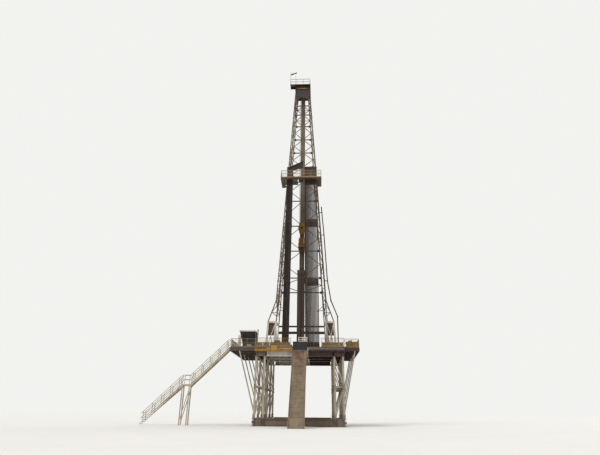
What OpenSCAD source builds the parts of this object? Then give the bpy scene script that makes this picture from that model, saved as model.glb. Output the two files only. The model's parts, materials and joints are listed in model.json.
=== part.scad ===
// Land drilling rig with racked pipe, as a scale model at one tenth of full size.
// One millimetre here is ten millimetres on the real rig.
// Each module is drawn about the well centre, with the V-door side towards -Y,
// and at_well() moves it so that the whole rig stands centred on the origin.

/* [Drill floor] */
// Height of the drill floor above the ground
floor_h = 914; // [800:1:1040]
// Width of the drill floor across the rig
floor_w = 1120; // [1080:1:1240]
// Well centre to the V-door edge of the floor
floor_front = 450; // [440:1:520]
// Well centre to the back edge of the floor
floor_back = 800; // [740:1:900]
// Thickness of the floor plates
deck_t = 16; // [10:1:24]
// Bore of the rotary table
rotary_bore = 95.2; // [70:0.1:110]
// Outer diameter of the rotary table
rotary_d = 170; // [150:1:200]
// Height of the yellow edge beam along the V-door side
edge_beam_h = 32; // [24:1:48]
// Thickness of the wooden mats under the racked pipe
mat_t = 9; // [5:1:14]

/* [Substructure] */
// Width of each side frame
side_w = 150; // [130:1:180]
// Height of the base skids
skid_h = 90; // [70:1:120]
// Height of the side boxes that carry the floor
box_h = 98; // [80:1:120]
// Columns along each side frame
column_n = 4; // [3:1:6]
// Section of a side frame column
column_s = 22; // [16:1:28]
// Section of a side frame diagonal
diagonal_s = 15; // [10:1:18]
// Height of the spreader beams between the side boxes
spreader_h = 52; // [40:1:70]

/* [Mast] */
// Height of the mast legs above the drill floor
mast_h = 4270; // [4100:1:4400]
// Half width over the mast legs at the top
mast_half_top = 121; // [110:1:140]
// How far each leg leans out for every unit of height
mast_lean = 0.0638; // [0.055:0.0001:0.07]
// Well centre to the front chords
mast_front = 75; // [70:1:100]
// Well centre to the back chords
mast_back = 165; // [150:1:200]
// Width of a leg at its foot, before the flare
leg_w_foot = 58; // [50:1:66]
// Width of a leg at the crown
leg_w_top = 40; // [34:1:48]
// Section of a leg chord
chord_s = 13; // [10:1:16]
// Section of the leg bracing
brace_s = 7; // [5:1:9]
// Section of the girts across the back
girt_s = 13; // [9:1:16]
// Section of the diamond bracing across the back
back_brace_s = 8; // [6:1:10]
// Height of the white foot frames
foot_h = 386; // [330:1:410]
// Width of a foot frame
foot_w = 118; // [100:1:124]
// How far the flare steps the inner chord outwards
foot_shift = 20; // [10:1:34]
// Height of the flare above the foot frame
flare_h = 284; // [250:1:330]

/* [Crown] */
// Depth of the crown beams
crown_beam_h = 66; // [50:1:80]
// Outer radius of the crown and block sheaves
sheave_r = 36; // [32:1:50]
// Width of one sheave
sheave_w = 8; // [6:1:9]
// How far the crown platform reaches past the well centre towards the V-door
crown_deck_front = 125; // [110:1:150]
// How far the crown platform reaches past the well centre towards the back
crown_deck_back = 215; // [195:1:240]
// Length of the side extension of the crown platform
crown_ext = 80; // [60:1:100]
// Height of the flagpole above the crown platform
flagpole_h = 262; // [200:1:300]

/* [Racking board] */
// Height of the racking board above the drill floor
board_z = 2450; // [2300:1:2500]
// Half width of the racking board
board_half = 305; // [295:1:320]
// Well centre to the outer edge of the racking board
board_front = 370; // [360:1:400]
// Width of the racking board walkways
walk_w = 55; // [45:1:60]
// Depth of the racking board beams
board_t = 22; // [16:1:30]
// Half width of the diving board
diving_half = 42; // [34:1:44]
// Well centre to the tip of the diving board
diving_tip = 190; // [185:1:230]
// Rows of pipe on each side
row_n = 7; // [4:1:8]
// Distance from one row of pipe to the next
row_pitch = 27; // [25:1:29]
// Width of a finger between two rows
finger_w = 7; // [4:1:8]

/* [Rear floor] */
// Well centre to the drum of the drawworks
drawworks_y = 480; // [440:1:560]
// Length of the drum between its flanges
drum_l = 140; // [110:1:150]
// Radius of the drum with its rope
drum_r = 40; // [34:1:46]
// Height of the drum axle above the floor
drum_z = 107; // [90:1:120]

/* [Racked pipe] */
// Length of one racked stand of three joints
stand_l = 2640; // [2560:1:2860]
// Joints in a racked stand
joints_per_stand = 3; // [2:1:3]
// Outer diameter of the pipe
pipe_d = 12.7; // [10:0.1:14]
// Outer diameter of the tool joints
tool_joint_d = 17.2; // [16:0.1:18]
// Length of a made-up tool joint
tool_joint_l = 52; // [40:1:60]
// Stands in a row on the left
left_n = 5; // [4:1:7]
// Stands in a row on the right
right_n = 11; // [8:1:12]
// Length of the singles that stand in the middle
single_l = 1030; // [880:1:1080]
// Singles in a middle row
single_n = 6; // [4:1:6]

/* [Travelling gear] */
// Height of the block centre above the drill floor
block_z = 1775; // [1700:1:1850]
// Overall width of the travelling block
block_w = 106; // [104:1:116]
// Overall thickness of the travelling block
block_t = 70; // [64:1:80]
// Distance from the block centre down to the top of the drive
hook_drop = 160; // [150:1:200]
// Height of the top drive housing
drive_h = 150; // [130:1:190]
// Width of the top drive housing
drive_w = 100; // [80:1:104]
// Length of the elevator links between their pins
link_l = 285; // [240:1:300]
// Bore of the elevator
elevator_bore = 13.4; // [12:0.1:15]
// Diameter of a drilling line
line_d = 3.5; // [2.5:0.1:4.5]

/* [Side platforms] */
// Width of the platform that carries the cabin
left_w = 330; // [320:1:380]
// Width of the platform on the other side
right_w = 190; // [150:1:230]
// How far the platforms stay back from the V-door edge
platform_setback = 65; // [40:1:90]
// Depth of the platform beams under their grating
platform_beam_h = 36; // [26:1:50]

/* [Driller cabin] */
// Width of the cabin at its floor
cabin_w = 170; // [150:1:180]
// Depth of the cabin at its floor
cabin_l = 260; // [220:1:300]
// Height of the cabin walls
cabin_h = 240; // [220:1:260]
// How far the left and front windows lean out
cabin_flare = 40; // [20:1:48]
// Thickness of the cabin walls
cabin_wall = 8; // [6:1:10]
// Well centre to the front of the cabin floor
cabin_front = 110; // [60:1:160]

/* [Stair and ramp] */
// Clear width of the stair between its stringers
stair_w = 84; // [70:1:100]
// Slope of the stair in degrees
stair_angle = 44; // [38:1:48]
// Risers in the upper flight
upper_risers = 22; // [18:1:26]
// Risers in the lower flight
lower_risers = 23; // [20:1:26]
// Length of the landing
landing_l = 100; // [80:1:130]
// Depth of a stringer
stringer_h = 26; // [20:1:34]
// Thickness of a stringer
stringer_t = 5; // [4:1:8]
// Width of the V-door ramp
ramp_w = 176; // [150:1:200]
// Slope of the ramp in degrees
ramp_angle = 50; // [44:1:56]
// Thickness of the ramp
ramp_t = 26; // [18:1:34]

/* [Handrails] */
// Height of the handrails
rail_h = 107; // [95:1:115]
// Diameter of a handrail tube
rail_d = 5; // [4:0.5:7]
// Largest distance between handrail posts
post_gap = 150; // [100:1:200]
// Height of a toe board
toe_h = 15; // [10:1:20]

/* [Hidden] */
$fn = 48;

deck_z = floor_h - deck_t;
box_z = deck_z - box_h;
side_x = floor_w / 2 - side_w / 2;
plane_off = side_w / 2 - column_s;
column_y0 = -floor_front + column_s;
column_y1 = floor_back - column_s;
beam_flange = 6;
beam_web = 7;
skid_cross_w = 24;
big = 4000;

// Outer half width of the mast at a height above the drill floor
function mast_half(z) = mast_half_top + mast_lean * (mast_h - z);
// Width of one leg at a height above the drill floor
function leg_w(z) = leg_w_foot + (leg_w_top - leg_w_foot) * z / mast_h;
// Centre lines of the inner and outer chords of a leg
function inner_x(z) = mast_half(z) - leg_w(z) + chord_s / 2;
function outer_x(z) = mast_half(z) - chord_s / 2;
// Centre lines of the front chords, which flare out over the foot frames
flare_top = foot_h + flare_h;
function foot_in(z) = inner_x(z) + foot_shift;
function foot_out(z) = foot_in(z) + foot_w - chord_s;
function flared(z, top, low) = top + (low - top) * (flare_top - z) / flare_h;
function front_in(z) = z >= flare_top ? inner_x(z) : flared(z, inner_x(flare_top), foot_in(foot_h));
function front_out(z) = z >= flare_top ? outer_x(z) : flared(z, outer_x(flare_top), foot_out(foot_h));

// Girts across the back, as shares of the mast height that the photograph shows
girt_share = [0.197, 0.248, 0.3457, 0.4403, 0.5396, 0.6183, 0.6824, 0.7445, 0.8037, 0.8649];
girts = [for (share = girt_share) round(share * mast_h)];
top_z = girts[len(girts) - 1] + girt_s;
plate_low = 0.9415 * mast_h;
plate_high = 0.9672 * mast_h;
top_girts = [girts[len(girts) - 1], 0.9204 * mast_h, plate_high - girt_s];
portal_girts = [0.697 * foot_h, 0.922 * foot_h];
section_z = (girts[0] + girts[1]) / 2;

stair_rise = floor_h / (upper_risers + lower_risers);
stair_going = stair_rise / tan(stair_angle);
upper_run = upper_risers * stair_going;
lower_run = lower_risers * stair_going;
landing_h = lower_risers * stair_rise;
platform_x = floor_w / 2 + left_w;
platform_y0 = -floor_front + platform_setback;
platform_y1 = floor_back;
stair_x0 = -platform_x;
stair_x1 = stair_x0 - upper_run;
stair_x2 = stair_x1 - landing_l;
stair_x3 = stair_x2 - lower_run;
stair_y0 = platform_y0;
stair_y1 = stair_y0 + stair_w + 2 * stringer_t;

ramp_top_z = floor_h - 52;
ramp_run = ramp_top_z / tan(ramp_angle);
ramp_foot = ramp_t / sin(ramp_angle);
ramp_lip = 12;
ramp_lip_w = 9;

// Extents of the whole rig about the well centre, which place it on the origin
x_min = stair_x3;
x_max = floor_w / 2 + right_w;
y_min = -floor_front - ramp_run - ramp_foot * ramp_lip / ramp_t;
y_max = floor_back;

module at_well() translate([-(x_min + x_max) / 2, -(y_min + y_max) / 2, 0]) children();
module on_floor() translate([0, 0, floor_h]) children();
module mirrored(side) scale([side, 1, 1]) children();

// Square bar from p to q, w across in the vertical plane and h across it
module bar(p, q, w, h) {
    d = q - p;
    len = norm(d);
    translate(p)
        rotate([0, acos(d[2] / len), atan2(d[1], d[0])])
            translate([-w / 2, -h / 2, 0]) cube([w, h, len]);
}

// Round bar from p to q
module rod(p, q, d) {
    v = q - p;
    len = norm(v);
    translate(p) rotate([0, acos(v[2] / len), atan2(v[1], v[0])]) cylinder(d = d, h = len);
}

// What lies between two heights
module between(z0, z1) {
    intersection() {
        children();
        translate([-big, -big, z0]) cube([2 * big, 2 * big, z1 - z0]);
    }
}

// I section beam lying along Y, its lower flange on z = 0
module beam_y(len, h, w) {
    translate([-w / 2, 0, 0]) cube([w, len, beam_flange]);
    translate([-w / 2, 0, h - beam_flange]) cube([w, len, beam_flange]);
    translate([-beam_web / 2, 0, 0]) cube([beam_web, len, h]);
}

// I section beam lying along X, its lower flange on z = 0
module beam_x(len, h, w) {
    translate([0, -w / 2, 0]) cube([len, w, beam_flange]);
    translate([0, -w / 2, h - beam_flange]) cube([len, w, beam_flange]);
    translate([0, -beam_web / 2, 0]) cube([len, beam_web, h]);
}

function column_y(i) = column_y0 + (column_y1 - column_y0) * i / (column_n - 1);

// Two I beams side by side with cross beams between their webs
module twin_beam(h) {
    len = floor_front + floor_back;
    for (s = [-1, 1])
        translate([s * plane_off, -floor_front, 0]) beam_y(len, h, 2 * column_s);
    for (i = [0 : column_n - 1])
        translate([-plane_off, column_y(i) - skid_cross_w / 2, 0])
            cube([2 * plane_off, skid_cross_w, h]);
}

module base_skids() at_well() color([0.42, 0.36, 0.30])
    for (side = [-1, 1]) translate([side * side_x, 0, 0]) twin_beam(skid_h);

module floor_boxes() at_well() color([0.62, 0.58, 0.50])
    for (side = [-1, 1]) translate([side * side_x, 0, box_z]) twin_beam(box_h);

// Columns, girts and diagonals between the base skid and the floor box
module side_frame(side) {
    z_mid = (skid_h + box_z) / 2;
    slim = diagonal_s - 2;
    tie = diagonal_s - 4;
    between(skid_h, box_z)
        translate([side * side_x, 0, 0]) {
            for (s = [-1, 1], i = [0 : column_n - 1])
                bar([s * plane_off, column_y(i), 0], [s * plane_off, column_y(i), floor_h], column_s, column_s);
            for (s = [-1, 1], i = [0 : column_n - 2]) {
                x = s * plane_off;
                y = column_y(i);
                y2 = column_y(i + 1);
                bar([x, y, z_mid], [x, y2, z_mid], diagonal_s, diagonal_s);
                bar([x, y, skid_h], [x, y2, z_mid], slim, slim);
                bar([x, y2, z_mid], [x, y, box_z], slim, slim);
            }
            for (i = [0 : column_n - 1]) {
                y = column_y(i);
                bar([-plane_off, y, z_mid], [plane_off, y, z_mid], diagonal_s + 2, diagonal_s + 2);
                bar([-plane_off, y, skid_h], [plane_off, y, z_mid], tie, tie);
                bar([plane_off, y, z_mid], [-plane_off, y, box_z], tie, tie);
            }
        }
}

module side_frames() at_well() color([0.62, 0.58, 0.50])
    for (side = [-1, 1]) side_frame(side);

inner_x0 = floor_w / 2 - side_w;
rotary_beam_x = rotary_d / 2 + 24;

module base_spreaders() at_well() color([0.42, 0.36, 0.30])
    for (y = [column_y0, column_y1])
        translate([-inner_x0, y, 0]) beam_x(2 * inner_x0, skid_h, 2 * column_s);

// Beams between the side boxes, and two short ones that carry the rotary table
spreader_y = [column_y0, -rotary_beam_x, mast_back + 20, column_y1];
module floor_spreaders() at_well() color([0.72, 0.69, 0.64]) {
    for (y = spreader_y) translate([-inner_x0, y, box_z]) beam_x(2 * inner_x0, box_h, 2 * column_s);
    y0 = spreader_y[1] + column_s + 0.3;
    for (s = [-1, 1]) translate([s * rotary_beam_x, y0, box_z])
        beam_y(spreader_y[2] - column_s - 0.3 - y0, box_h, column_s);
}

module drill_floor() at_well() color([0.33, 0.30, 0.27])
    difference() {
        translate([-floor_w / 2, -floor_front, deck_z])
            cube([floor_w, floor_front + floor_back, deck_t]);
        translate([0, 0, deck_z - 1]) cylinder(d = rotary_d + 4, h = deck_t + 2);
    }

rotary_lip = 5;
rotary_body_h = deck_t + 34;
module rotary_table() at_well() color([0.25, 0.24, 0.23])
    difference() {
        union() {
            translate([0, 0, floor_h - rotary_body_h]) cylinder(d = rotary_d, h = rotary_body_h);
            translate([0, 0, floor_h]) cylinder(d = rotary_d + 16, h = rotary_lip);
        }
        translate([0, 0, floor_h - rotary_body_h - 1])
            cylinder(d = rotary_bore, h = rotary_body_h + rotary_lip + 2);
    }

// Places of the racked pipe about the well centre
row_y0 = -board_front + walk_w + 14;
rack_y1 = row_y0 + (row_n - 1) * row_pitch;
pipe_pitch = tool_joint_d - 0.2;
left_x1 = -164;
left_x0 = left_x1 - (left_n - 1) * pipe_pitch;
right_x0 = 72;
right_x1 = right_x0 + (right_n - 1) * pipe_pitch;
single_x1 = 46;
single_x0 = single_x1 - (single_n - 1) * pipe_pitch;

module mat(x0, x1) translate([x0, row_y0 - 16, floor_h]) cube([x1 - x0, rack_y1 - row_y0 + 32, mat_t]);
module setback_mats() at_well() color([0.36, 0.28, 0.20]) {
    mat(left_x0 - 18, left_x1 + 22);
    mat(single_x0 - 14, right_x1 + 18);
}

// Beams below the floor's front edge, hung from it by short brackets
gate_h = 62;
gate_drop = 38;
gate_x0 = -84;
gate_x1 = 95;
gate_t = 8;
edge_drop = 24;
module edge_beam(x0, x1) {
    z = floor_h - edge_drop;
    translate([x0, -floor_front - 12, z - edge_beam_h]) cube([x1 - x0, 12, edge_beam_h]);
    for (i = [0 : 2])
        translate([x0 + 6 + i * (x1 - x0 - 22) / 2, -floor_front - 6, z]) cube([10, 6, edge_drop]);
}
module edge_beams() at_well() color([0.68, 0.50, 0.22]) {
    edge_beam(-floor_w / 2, gate_x0 - 4);
    edge_beam(gate_x1 + 4, floor_w / 2);
}

// Strip of the ramp's side view, raised by top over its sliding face
module ramp_strip(x, w, top) {
    y0 = -floor_front;
    translate([x, 0, 0]) rotate([90, 0, 90]) linear_extrude(w)
        polygon([[y0, ramp_top_z + top], [y0 - ramp_run - ramp_foot * top / ramp_t, 0],
                 [y0 - ramp_run + ramp_foot, 0], [y0, ramp_top_z - ramp_foot * tan(ramp_angle)]]);
}

// Steep slide from the drill floor down to the ground, with a raised edge on each side
module v_door_ramp() at_well() color([0.42, 0.33, 0.24]) {
    ramp_strip(-ramp_w / 2, ramp_w, 0);
    for (s = [0, 1])
        ramp_strip(-ramp_w / 2 + s * (ramp_w - ramp_lip_w), ramp_lip_w, ramp_lip);
    for (s = [-1, 1])
        translate([s * 60 - 8, -floor_front - 6, ramp_top_z - 32])
            cube([16, 6 + column_s - beam_web / 2, 20]);
}

module v_door_gate() at_well() color([0.10, 0.10, 0.12])
    translate([gate_x0, -floor_front - gate_t - 0.3, floor_h - gate_drop])
        cube([gate_x1 - gate_x0, gate_t, gate_drop + gate_h]);

module v_door_rails() at_well() color([0.80, 0.74, 0.68]) {
    x0 = -17;
    x1 = gate_x1;
    y = -floor_front - gate_t / 2 - 0.3;
    z = floor_h + gate_h;
    h = 56;
    for (x = [x0, (x0 + x1) / 2, x1 - 8]) translate([x, y - 3, z]) cube([8, 6, h]);
    for (dz = [0, h / 2 - 6, h - 10]) translate([x0, y - 3, z + dz]) cube([x1 - x0, 6, 9]);
}

// Platform beside the floor: grating on joists, hung on the side box
grating_t = 7;
module side_platform(x0, x1) {
    y0 = platform_y0;
    y1 = platform_y1;
    translate([x0, y0, floor_h - grating_t]) cube([x1 - x0, y1 - y0, grating_t]);
    z = floor_h - grating_t - platform_beam_h;
    for (x = [x0, x1 - joist]) translate([x, y0, z]) cube([joist, y1 - y0, platform_beam_h + 1]);
    for (i = [0 : column_n - 1])
        translate([x0, joist_y(i) - joist / 2, z]) cube([x1 - x0, joist, platform_beam_h + 1]);
    for (i = [0 : column_n - 2])
        translate([x0, (joist_y(i) + joist_y(i + 1) - joist) / 2, z])
            cube([x1 - x0, joist, platform_beam_h + 1]);
}
module side_platforms() at_well() color([0.30, 0.27, 0.25]) {
    side_platform(-platform_x, -floor_w / 2);
    side_platform(floor_w / 2, floor_w / 2 + right_w);
}

// Knee struts from the side frames out to the platforms
joist = 14;
function joist_y(i) = i == 0 ? platform_y0 + 7.5 : i == column_n - 1 ? platform_y1 - 7.5 : column_y(i);
module platform_struts() at_well() color([0.66, 0.62, 0.55]) {
    z_top = floor_h - grating_t - platform_beam_h;
    face = side_x + plane_off + column_s / 2;
    strut_s = 13;
    for (side = [-1, 1]) {
        reach = side < 0 ? left_w * 0.62 : right_w * 0.7;
        for (i = [0 : column_n - 1])
            intersection() {
                bar([side * (face - 14), column_y(i), 136],
                    [side * (face + 14 + reach), joist_y(i), z_top + 22], strut_s, strut_s);
                mirrored(side) translate([face, -big, 0]) cube([big, 2 * big, z_top]);
            }
    }
}

// Handrail on a level edge from p to q: posts, two rails and a toe board
module handrail(p, q, toe = true) {
    d = q - p;
    len = norm(d);
    n = ceil(len / post_gap);
    translate([p[0], p[1], 0]) rotate([0, 0, atan2(d[1], d[0])]) {
        for (i = [0 : n])
            translate([rail_d / 2 + (len - rail_d) * i / n, 0, 0])
                translate([-rail_d / 2, -rail_d / 2, 0]) cube([rail_d, rail_d, rail_h]);
        for (z = [rail_h / 2, rail_h]) translate([0, -rail_d / 2, z - rail_d / 2]) cube([len, rail_d, rail_d]);
        if (toe) translate([0, -1, 0]) cube([len, 2, toe_h]);
    }
}

module floor_handrails() at_well() color([0.66, 0.52, 0.22]) on_floor() {
    y = -floor_front + rail_d;
    x = floor_w / 2 - rail_d;
    handrail([-x, y], [gate_x0 - 24, y]);
    handrail([right_x1 + 26, y], [x, y]);
    handrail([-x, floor_back - rail_d], [x, floor_back - rail_d]);
}

module platform_handrails() at_well() color([0.58, 0.52, 0.26]) on_floor() {
    xl = -platform_x + rail_d;
    xr = floor_w / 2 + right_w - rail_d;
    y0 = platform_y0 + rail_d;
    y1 = platform_y1 - rail_d;
    handrail([xl, stair_y1 + rail_d], [xl, y1 - 2 * rail_d]);
    handrail([xl, y1], [-floor_w / 2 - 2 * rail_d, y1]);
    handrail([xl + rail_d, y0], [-floor_w / 2 - rail_d, y0]);
    handrail([xr, y0 + 2 * rail_d], [xr, y1 - 2 * rail_d]);
    handrail([floor_w / 2 + rail_d, y0], [xr, y0]);
    handrail([floor_w / 2 + 2 * rail_d, y1], [xr, y1]);
}

// Driller cabin: lower body upright, windows leaning out on the left and front
cabin_x1 = -floor_w / 2 - 42;
cabin_x0 = cabin_x1 - cabin_w;
cabin_y0 = -cabin_front;
cabin_y1 = cabin_y0 + cabin_l;
cabin_floor_t = 8;
sill_z = 78;

// Side view between a leaning wall at a and an upright one at b, kinked at the sill
function cabin_out(z) = cabin_flare * max(0, z - sill_z) / (cabin_h - sill_z);
module cabin_side(a, b, z0, z1)
    polygon(concat([[a - cabin_out(z0), z0], [b, z0], [b, z1], [a - cabin_out(z1), z1]],
                   z0 < sill_z && z1 > sill_z ? [[a, sill_z]] : []));
// The cabin's outline pushed in by w on its walls, from z0 to z1
module cabin_form(w, z0, z1)
    intersection() {
        translate([0, cabin_y1 - w, 0]) rotate([90, 0, 0]) linear_extrude(cabin_l + cabin_flare + 1)
            cabin_side(cabin_x0 + w, cabin_x1 - w, z0, z1);
        translate([cabin_x0 - cabin_flare - 1, 0, 0]) rotate([90, 0, 90])
            linear_extrude(cabin_w + cabin_flare + 2) cabin_side(cabin_y0 + w, cabin_y1 - w, z0, z1);
    }

// Space of the windows and the door, cut through the walls
module cabin_windows() {
    top = cabin_h - 14;
    x_mull = cabin_x0 + 46;
    front = cabin_y0 - cabin_flare - 10;
    reach = cabin_flare + 40;
    translate([cabin_x0 + 4, front, 14]) cube([x_mull - cabin_x0 - 12, reach, top - 14]);
    translate([x_mull, front, sill_z]) cube([cabin_x1 - 12 - x_mull, reach, top - sill_z]);
    for (i = [0 : 2]) {
        w = (cabin_l - 40) / 3;
        y = cabin_y0 + 14 + i * (w + 8);
        translate([cabin_x0 - cabin_flare - 10, y, sill_z]) cube([reach, w - 4, top - sill_z]);
    }
    translate([cabin_x1 - 20, cabin_y0 + 18, sill_z]) cube([40, 90, top - sill_z]);
}
door_y = cabin_y1 - 104;
door_w = 84;
door_top = 210;
module cabin_doorway() translate([cabin_x1 - 20, door_y, cabin_floor_t - 2])
    cube([40, door_w, door_top - cabin_floor_t + 2]);

module cabin_floor() at_well() color([0.35, 0.34, 0.33]) on_floor()
    cabin_form(0, 0, cabin_floor_t);
module cabin_walls() at_well() color([0.55, 0.54, 0.50]) on_floor()
    difference() {
        cabin_form(0, cabin_floor_t, cabin_h);
        cabin_form(cabin_wall, cabin_floor_t - 1, cabin_h + 1);
        cabin_windows();
        cabin_doorway();
    }
module cabin_glass() at_well() color([0.10, 0.13, 0.13]) on_floor()
    intersection() {
        difference() {
            cabin_form(2.5, cabin_floor_t, cabin_h);
            cabin_form(5.5, cabin_floor_t - 1, cabin_h + 1);
        }
        cabin_windows();
    }
module cabin_door() at_well() color([0.60, 0.59, 0.55]) on_floor() {
    translate([cabin_x1 - 6, door_y + 0.5, cabin_floor_t + 0.5])
        cube([4, door_w - 1, door_top - cabin_floor_t - 1]);
    translate([cabin_x1 - 3, door_y + 8, 100]) cube([7, 3, 24]);
}
module cabin_roof() at_well() color([0.80, 0.78, 0.74]) on_floor()
    translate([cabin_x0 - cabin_flare - 5, cabin_y0 - cabin_flare - 6, cabin_h])
        cube([cabin_w + cabin_flare + 9, cabin_l + cabin_flare + 12, 9]);

// Sloping plate of a stair between two points in the XZ plane
module stringer(xa, za, xb, zb, y) {
    translate([0, y + stringer_t, 0]) rotate([90, 0, 0]) linear_extrude(stringer_t)
        polygon([[xa, za], [xa, za - stringer_h * 1.4], [xb, max(zb - stringer_h * 1.4, 0)], [xb, zb]]);
}

module stair_stringers() at_well() color([0.66, 0.62, 0.54])
    for (y = [stair_y0, stair_y1 - stringer_t]) {
        stringer(stair_x0, floor_h, stair_x1, landing_h, y);
        stringer(stair_x2, landing_h, stair_x3, 0, y);
    }

tread_t = 4;
tread_l = 20;
module flight(x, z, n)
    for (i = [1 : n - 1])
        translate([x - i * stair_going - tread_l / 2, stair_y0 + stringer_t, z - i * stair_rise - tread_t])
            cube([tread_l, stair_w, tread_t]);
module stair_treads() at_well() color([0.45, 0.43, 0.38]) {
    flight(stair_x0, floor_h, upper_risers);
    flight(stair_x2, landing_h, lower_risers);
}

module stair_landing() at_well() color([0.60, 0.56, 0.48]) {
    leg = 12;
    translate([stair_x2, stair_y0, landing_h - 20]) cube([landing_l, stair_y1 - stair_y0, 20]);
    for (x = [stair_x2, stair_x1 - leg], y = [stair_y0, stair_y1 - leg])
        translate([x, y, 0]) cube([leg, leg, landing_h - 19]);
    for (y = [stair_y0 + leg / 2, stair_y1 - leg / 2])
        bar([stair_x2 + leg / 2, y, 40], [stair_x1 - leg / 2, y, landing_h - 60], 8, 8);
}

// Handrail down a flight from (xa, za) to (xb, zb)
module slope_rail(xa, za, xb, zb, y) {
    n = 4;
    for (i = [0 : n]) {
        x = xa + (xb - xa) * (0.06 + 0.88 * i / n);
        z = za + (zb - za) * (0.06 + 0.88 * i / n);
        dz = rail_d / 2 * (zb - za) / (xb - xa);
        translate([0, y + rail_d / 2, 0]) rotate([90, 0, 0]) linear_extrude(rail_d)
            polygon([[x - rail_d / 2, z - dz + 0.3], [x + rail_d / 2, z + dz + 0.3],
                     [x + rail_d / 2, z + rail_h - 2], [x - rail_d / 2, z + rail_h - 2]]);
    }
    for (h = [rail_h / 2, rail_h]) bar([xa, y, za + h], [xb, y, zb + h], rail_d, rail_d);
}
module stair_handrails() at_well() color([0.62, 0.55, 0.26])
    for (y = [stair_y0 + stringer_t / 2, stair_y1 - stringer_t / 2]) {
        slope_rail(stair_x0 - 6, floor_h - 6 * tan(stair_angle), stair_x1 + 4, landing_h + 4, y);
        slope_rail(stair_x2 - 6, landing_h - 6 * tan(stair_angle), stair_x3 + 20, 20, y);
        translate([0, 0, landing_h]) handrail([stair_x2 + 4, y], [stair_x1 - 4, y], false);
    }

// Sloping member in the XZ plane with level ends, w wide and t thick about y
module raker(xa, za, xb, zb, w, y, t)
    translate([0, y + t / 2, 0]) rotate([90, 0, 0]) linear_extrude(t)
        polygon([[xa - w / 2, za], [xa + w / 2, za], [xb + w / 2, zb], [xb - w / 2, zb]]);

// White foot frame under one leg: a wide front, a narrow back and braces between them
module mast_foot(side) mirrored(side) {
    plate_t = 10;
    cap = 24;
    s = chord_s + 2;
    wide = chord_s + 11;
    low = plate_t - 2;
    high = foot_h - cap / 2;
    raker(foot_in(0), 0, foot_in(foot_h), foot_h, wide, -mast_front, s);
    raker(foot_out(0), 0, foot_out(foot_h), foot_h, wide, -mast_front, s);
    bar([foot_in(high), -mast_front, high], [foot_out(low), -mast_front, low], 10, 10);
    if (side > 0)
        bar([foot_out(high), -mast_front, high], [foot_in(low), -mast_front, low], 10, 10);
    translate([foot_in(foot_h), -mast_front - s / 2, foot_h - cap])
        cube([foot_w - chord_s, s, cap]);
    translate([foot_in(0) - wide / 2 - 6, -mast_front - s / 2 - 6, 0])
        cube([foot_w - chord_s + wide + 12, s + 12, plate_t]);
    raker(inner_x(0), 0, inner_x(foot_h), foot_h, s, mast_back, s);
    raker(outer_x(0), 0, outer_x(foot_h), foot_h, s, mast_back, s);
    bar([outer_x(high), mast_back, high], [inner_x(low), mast_back, low], 10, 10);
    translate([inner_x(foot_h), mast_back - s / 2, foot_h - cap])
        cube([outer_x(foot_h) - inner_x(foot_h), s, cap]);
    translate([inner_x(0) - s / 2 - 6, mast_back - s / 2 - 6, 0])
        cube([outer_x(0) - inner_x(0) + s + 12, s + 12, plate_t]);
    bar([foot_in(high), -mast_front, high], [inner_x(high), mast_back, high], cap - 4, s - 4);
    bar([foot_out(high), -mast_front, high], [outer_x(high), mast_back, high], cap - 4, s - 4);
    bar([foot_in(high), -mast_front, high], [inner_x(low), mast_back, low], 9, 9);
    bar([foot_out(high), -mast_front, high], [outer_x(low), mast_back, low], 9, 9);
}

module mast_feet() at_well() color([0.82, 0.78, 0.72]) on_floor()
    for (side = [-1, 1]) mast_foot(side);

// Levels of the leg bracing: each tall bay of the back is halved
function halved(v) = concat(
    [for (i = [0 : len(v) - 2]) each (v[i + 1] - v[i] > 300 ? [v[i], (v[i] + v[i + 1]) / 2] : [v[i]])],
    [v[len(v) - 1]]);

// Chords and bracing of one leg over a list of levels
function leg_x(out, y, z) = y < 0 ? (out ? front_out(z) : front_in(z)) : (out ? outer_x(z) : inner_x(z));
module leg(levels, z0, z1) {
    ys = [-mast_front, mast_back];
    between(z0, z1) {
        for (y = ys, out = [false, true]) {
            low = z0 < flare_top ? flare_top : z0 - 30;
            if (z0 < flare_top) {
                bar([leg_x(out, y, z0 - 30), y, z0 - 30], [leg_x(out, y, low), y, low], chord_s, chord_s);
                translate([leg_x(out, y, low), y, low]) cube([chord_s + 4, chord_s + 4, 26], center = true);
            }
            bar([leg_x(out, y, low), y, low], [leg_x(out, y, z1 + 30), y, z1 + 30], chord_s, chord_s);
        }
        for (z = levels) {
            for (y = ys) bar([leg_x(false, y, z), y, z], [leg_x(true, y, z), y, z], brace_s, brace_s);
            for (out = [false, true])
                bar([leg_x(out, -1, z), -mast_front, z], [leg_x(out, 1, z), mast_back, z], brace_s, brace_s);
        }
        for (i = [0 : len(levels) - 2]) {
            a = levels[i];
            b = levels[i + 1];
            flip = i % 2 == 0;
            for (y = ys) bar([leg_x(!flip, y, a), y, a], [leg_x(flip, y, b), y, b], brace_s, brace_s);
            y1 = flip ? -mast_front : mast_back;
            y2 = flip ? mast_back : -mast_front;
            bar([leg_x(true, y1, a), y1, a], [leg_x(true, y2, b), y2, b], brace_s, brace_s);
        }
    }
}

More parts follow.
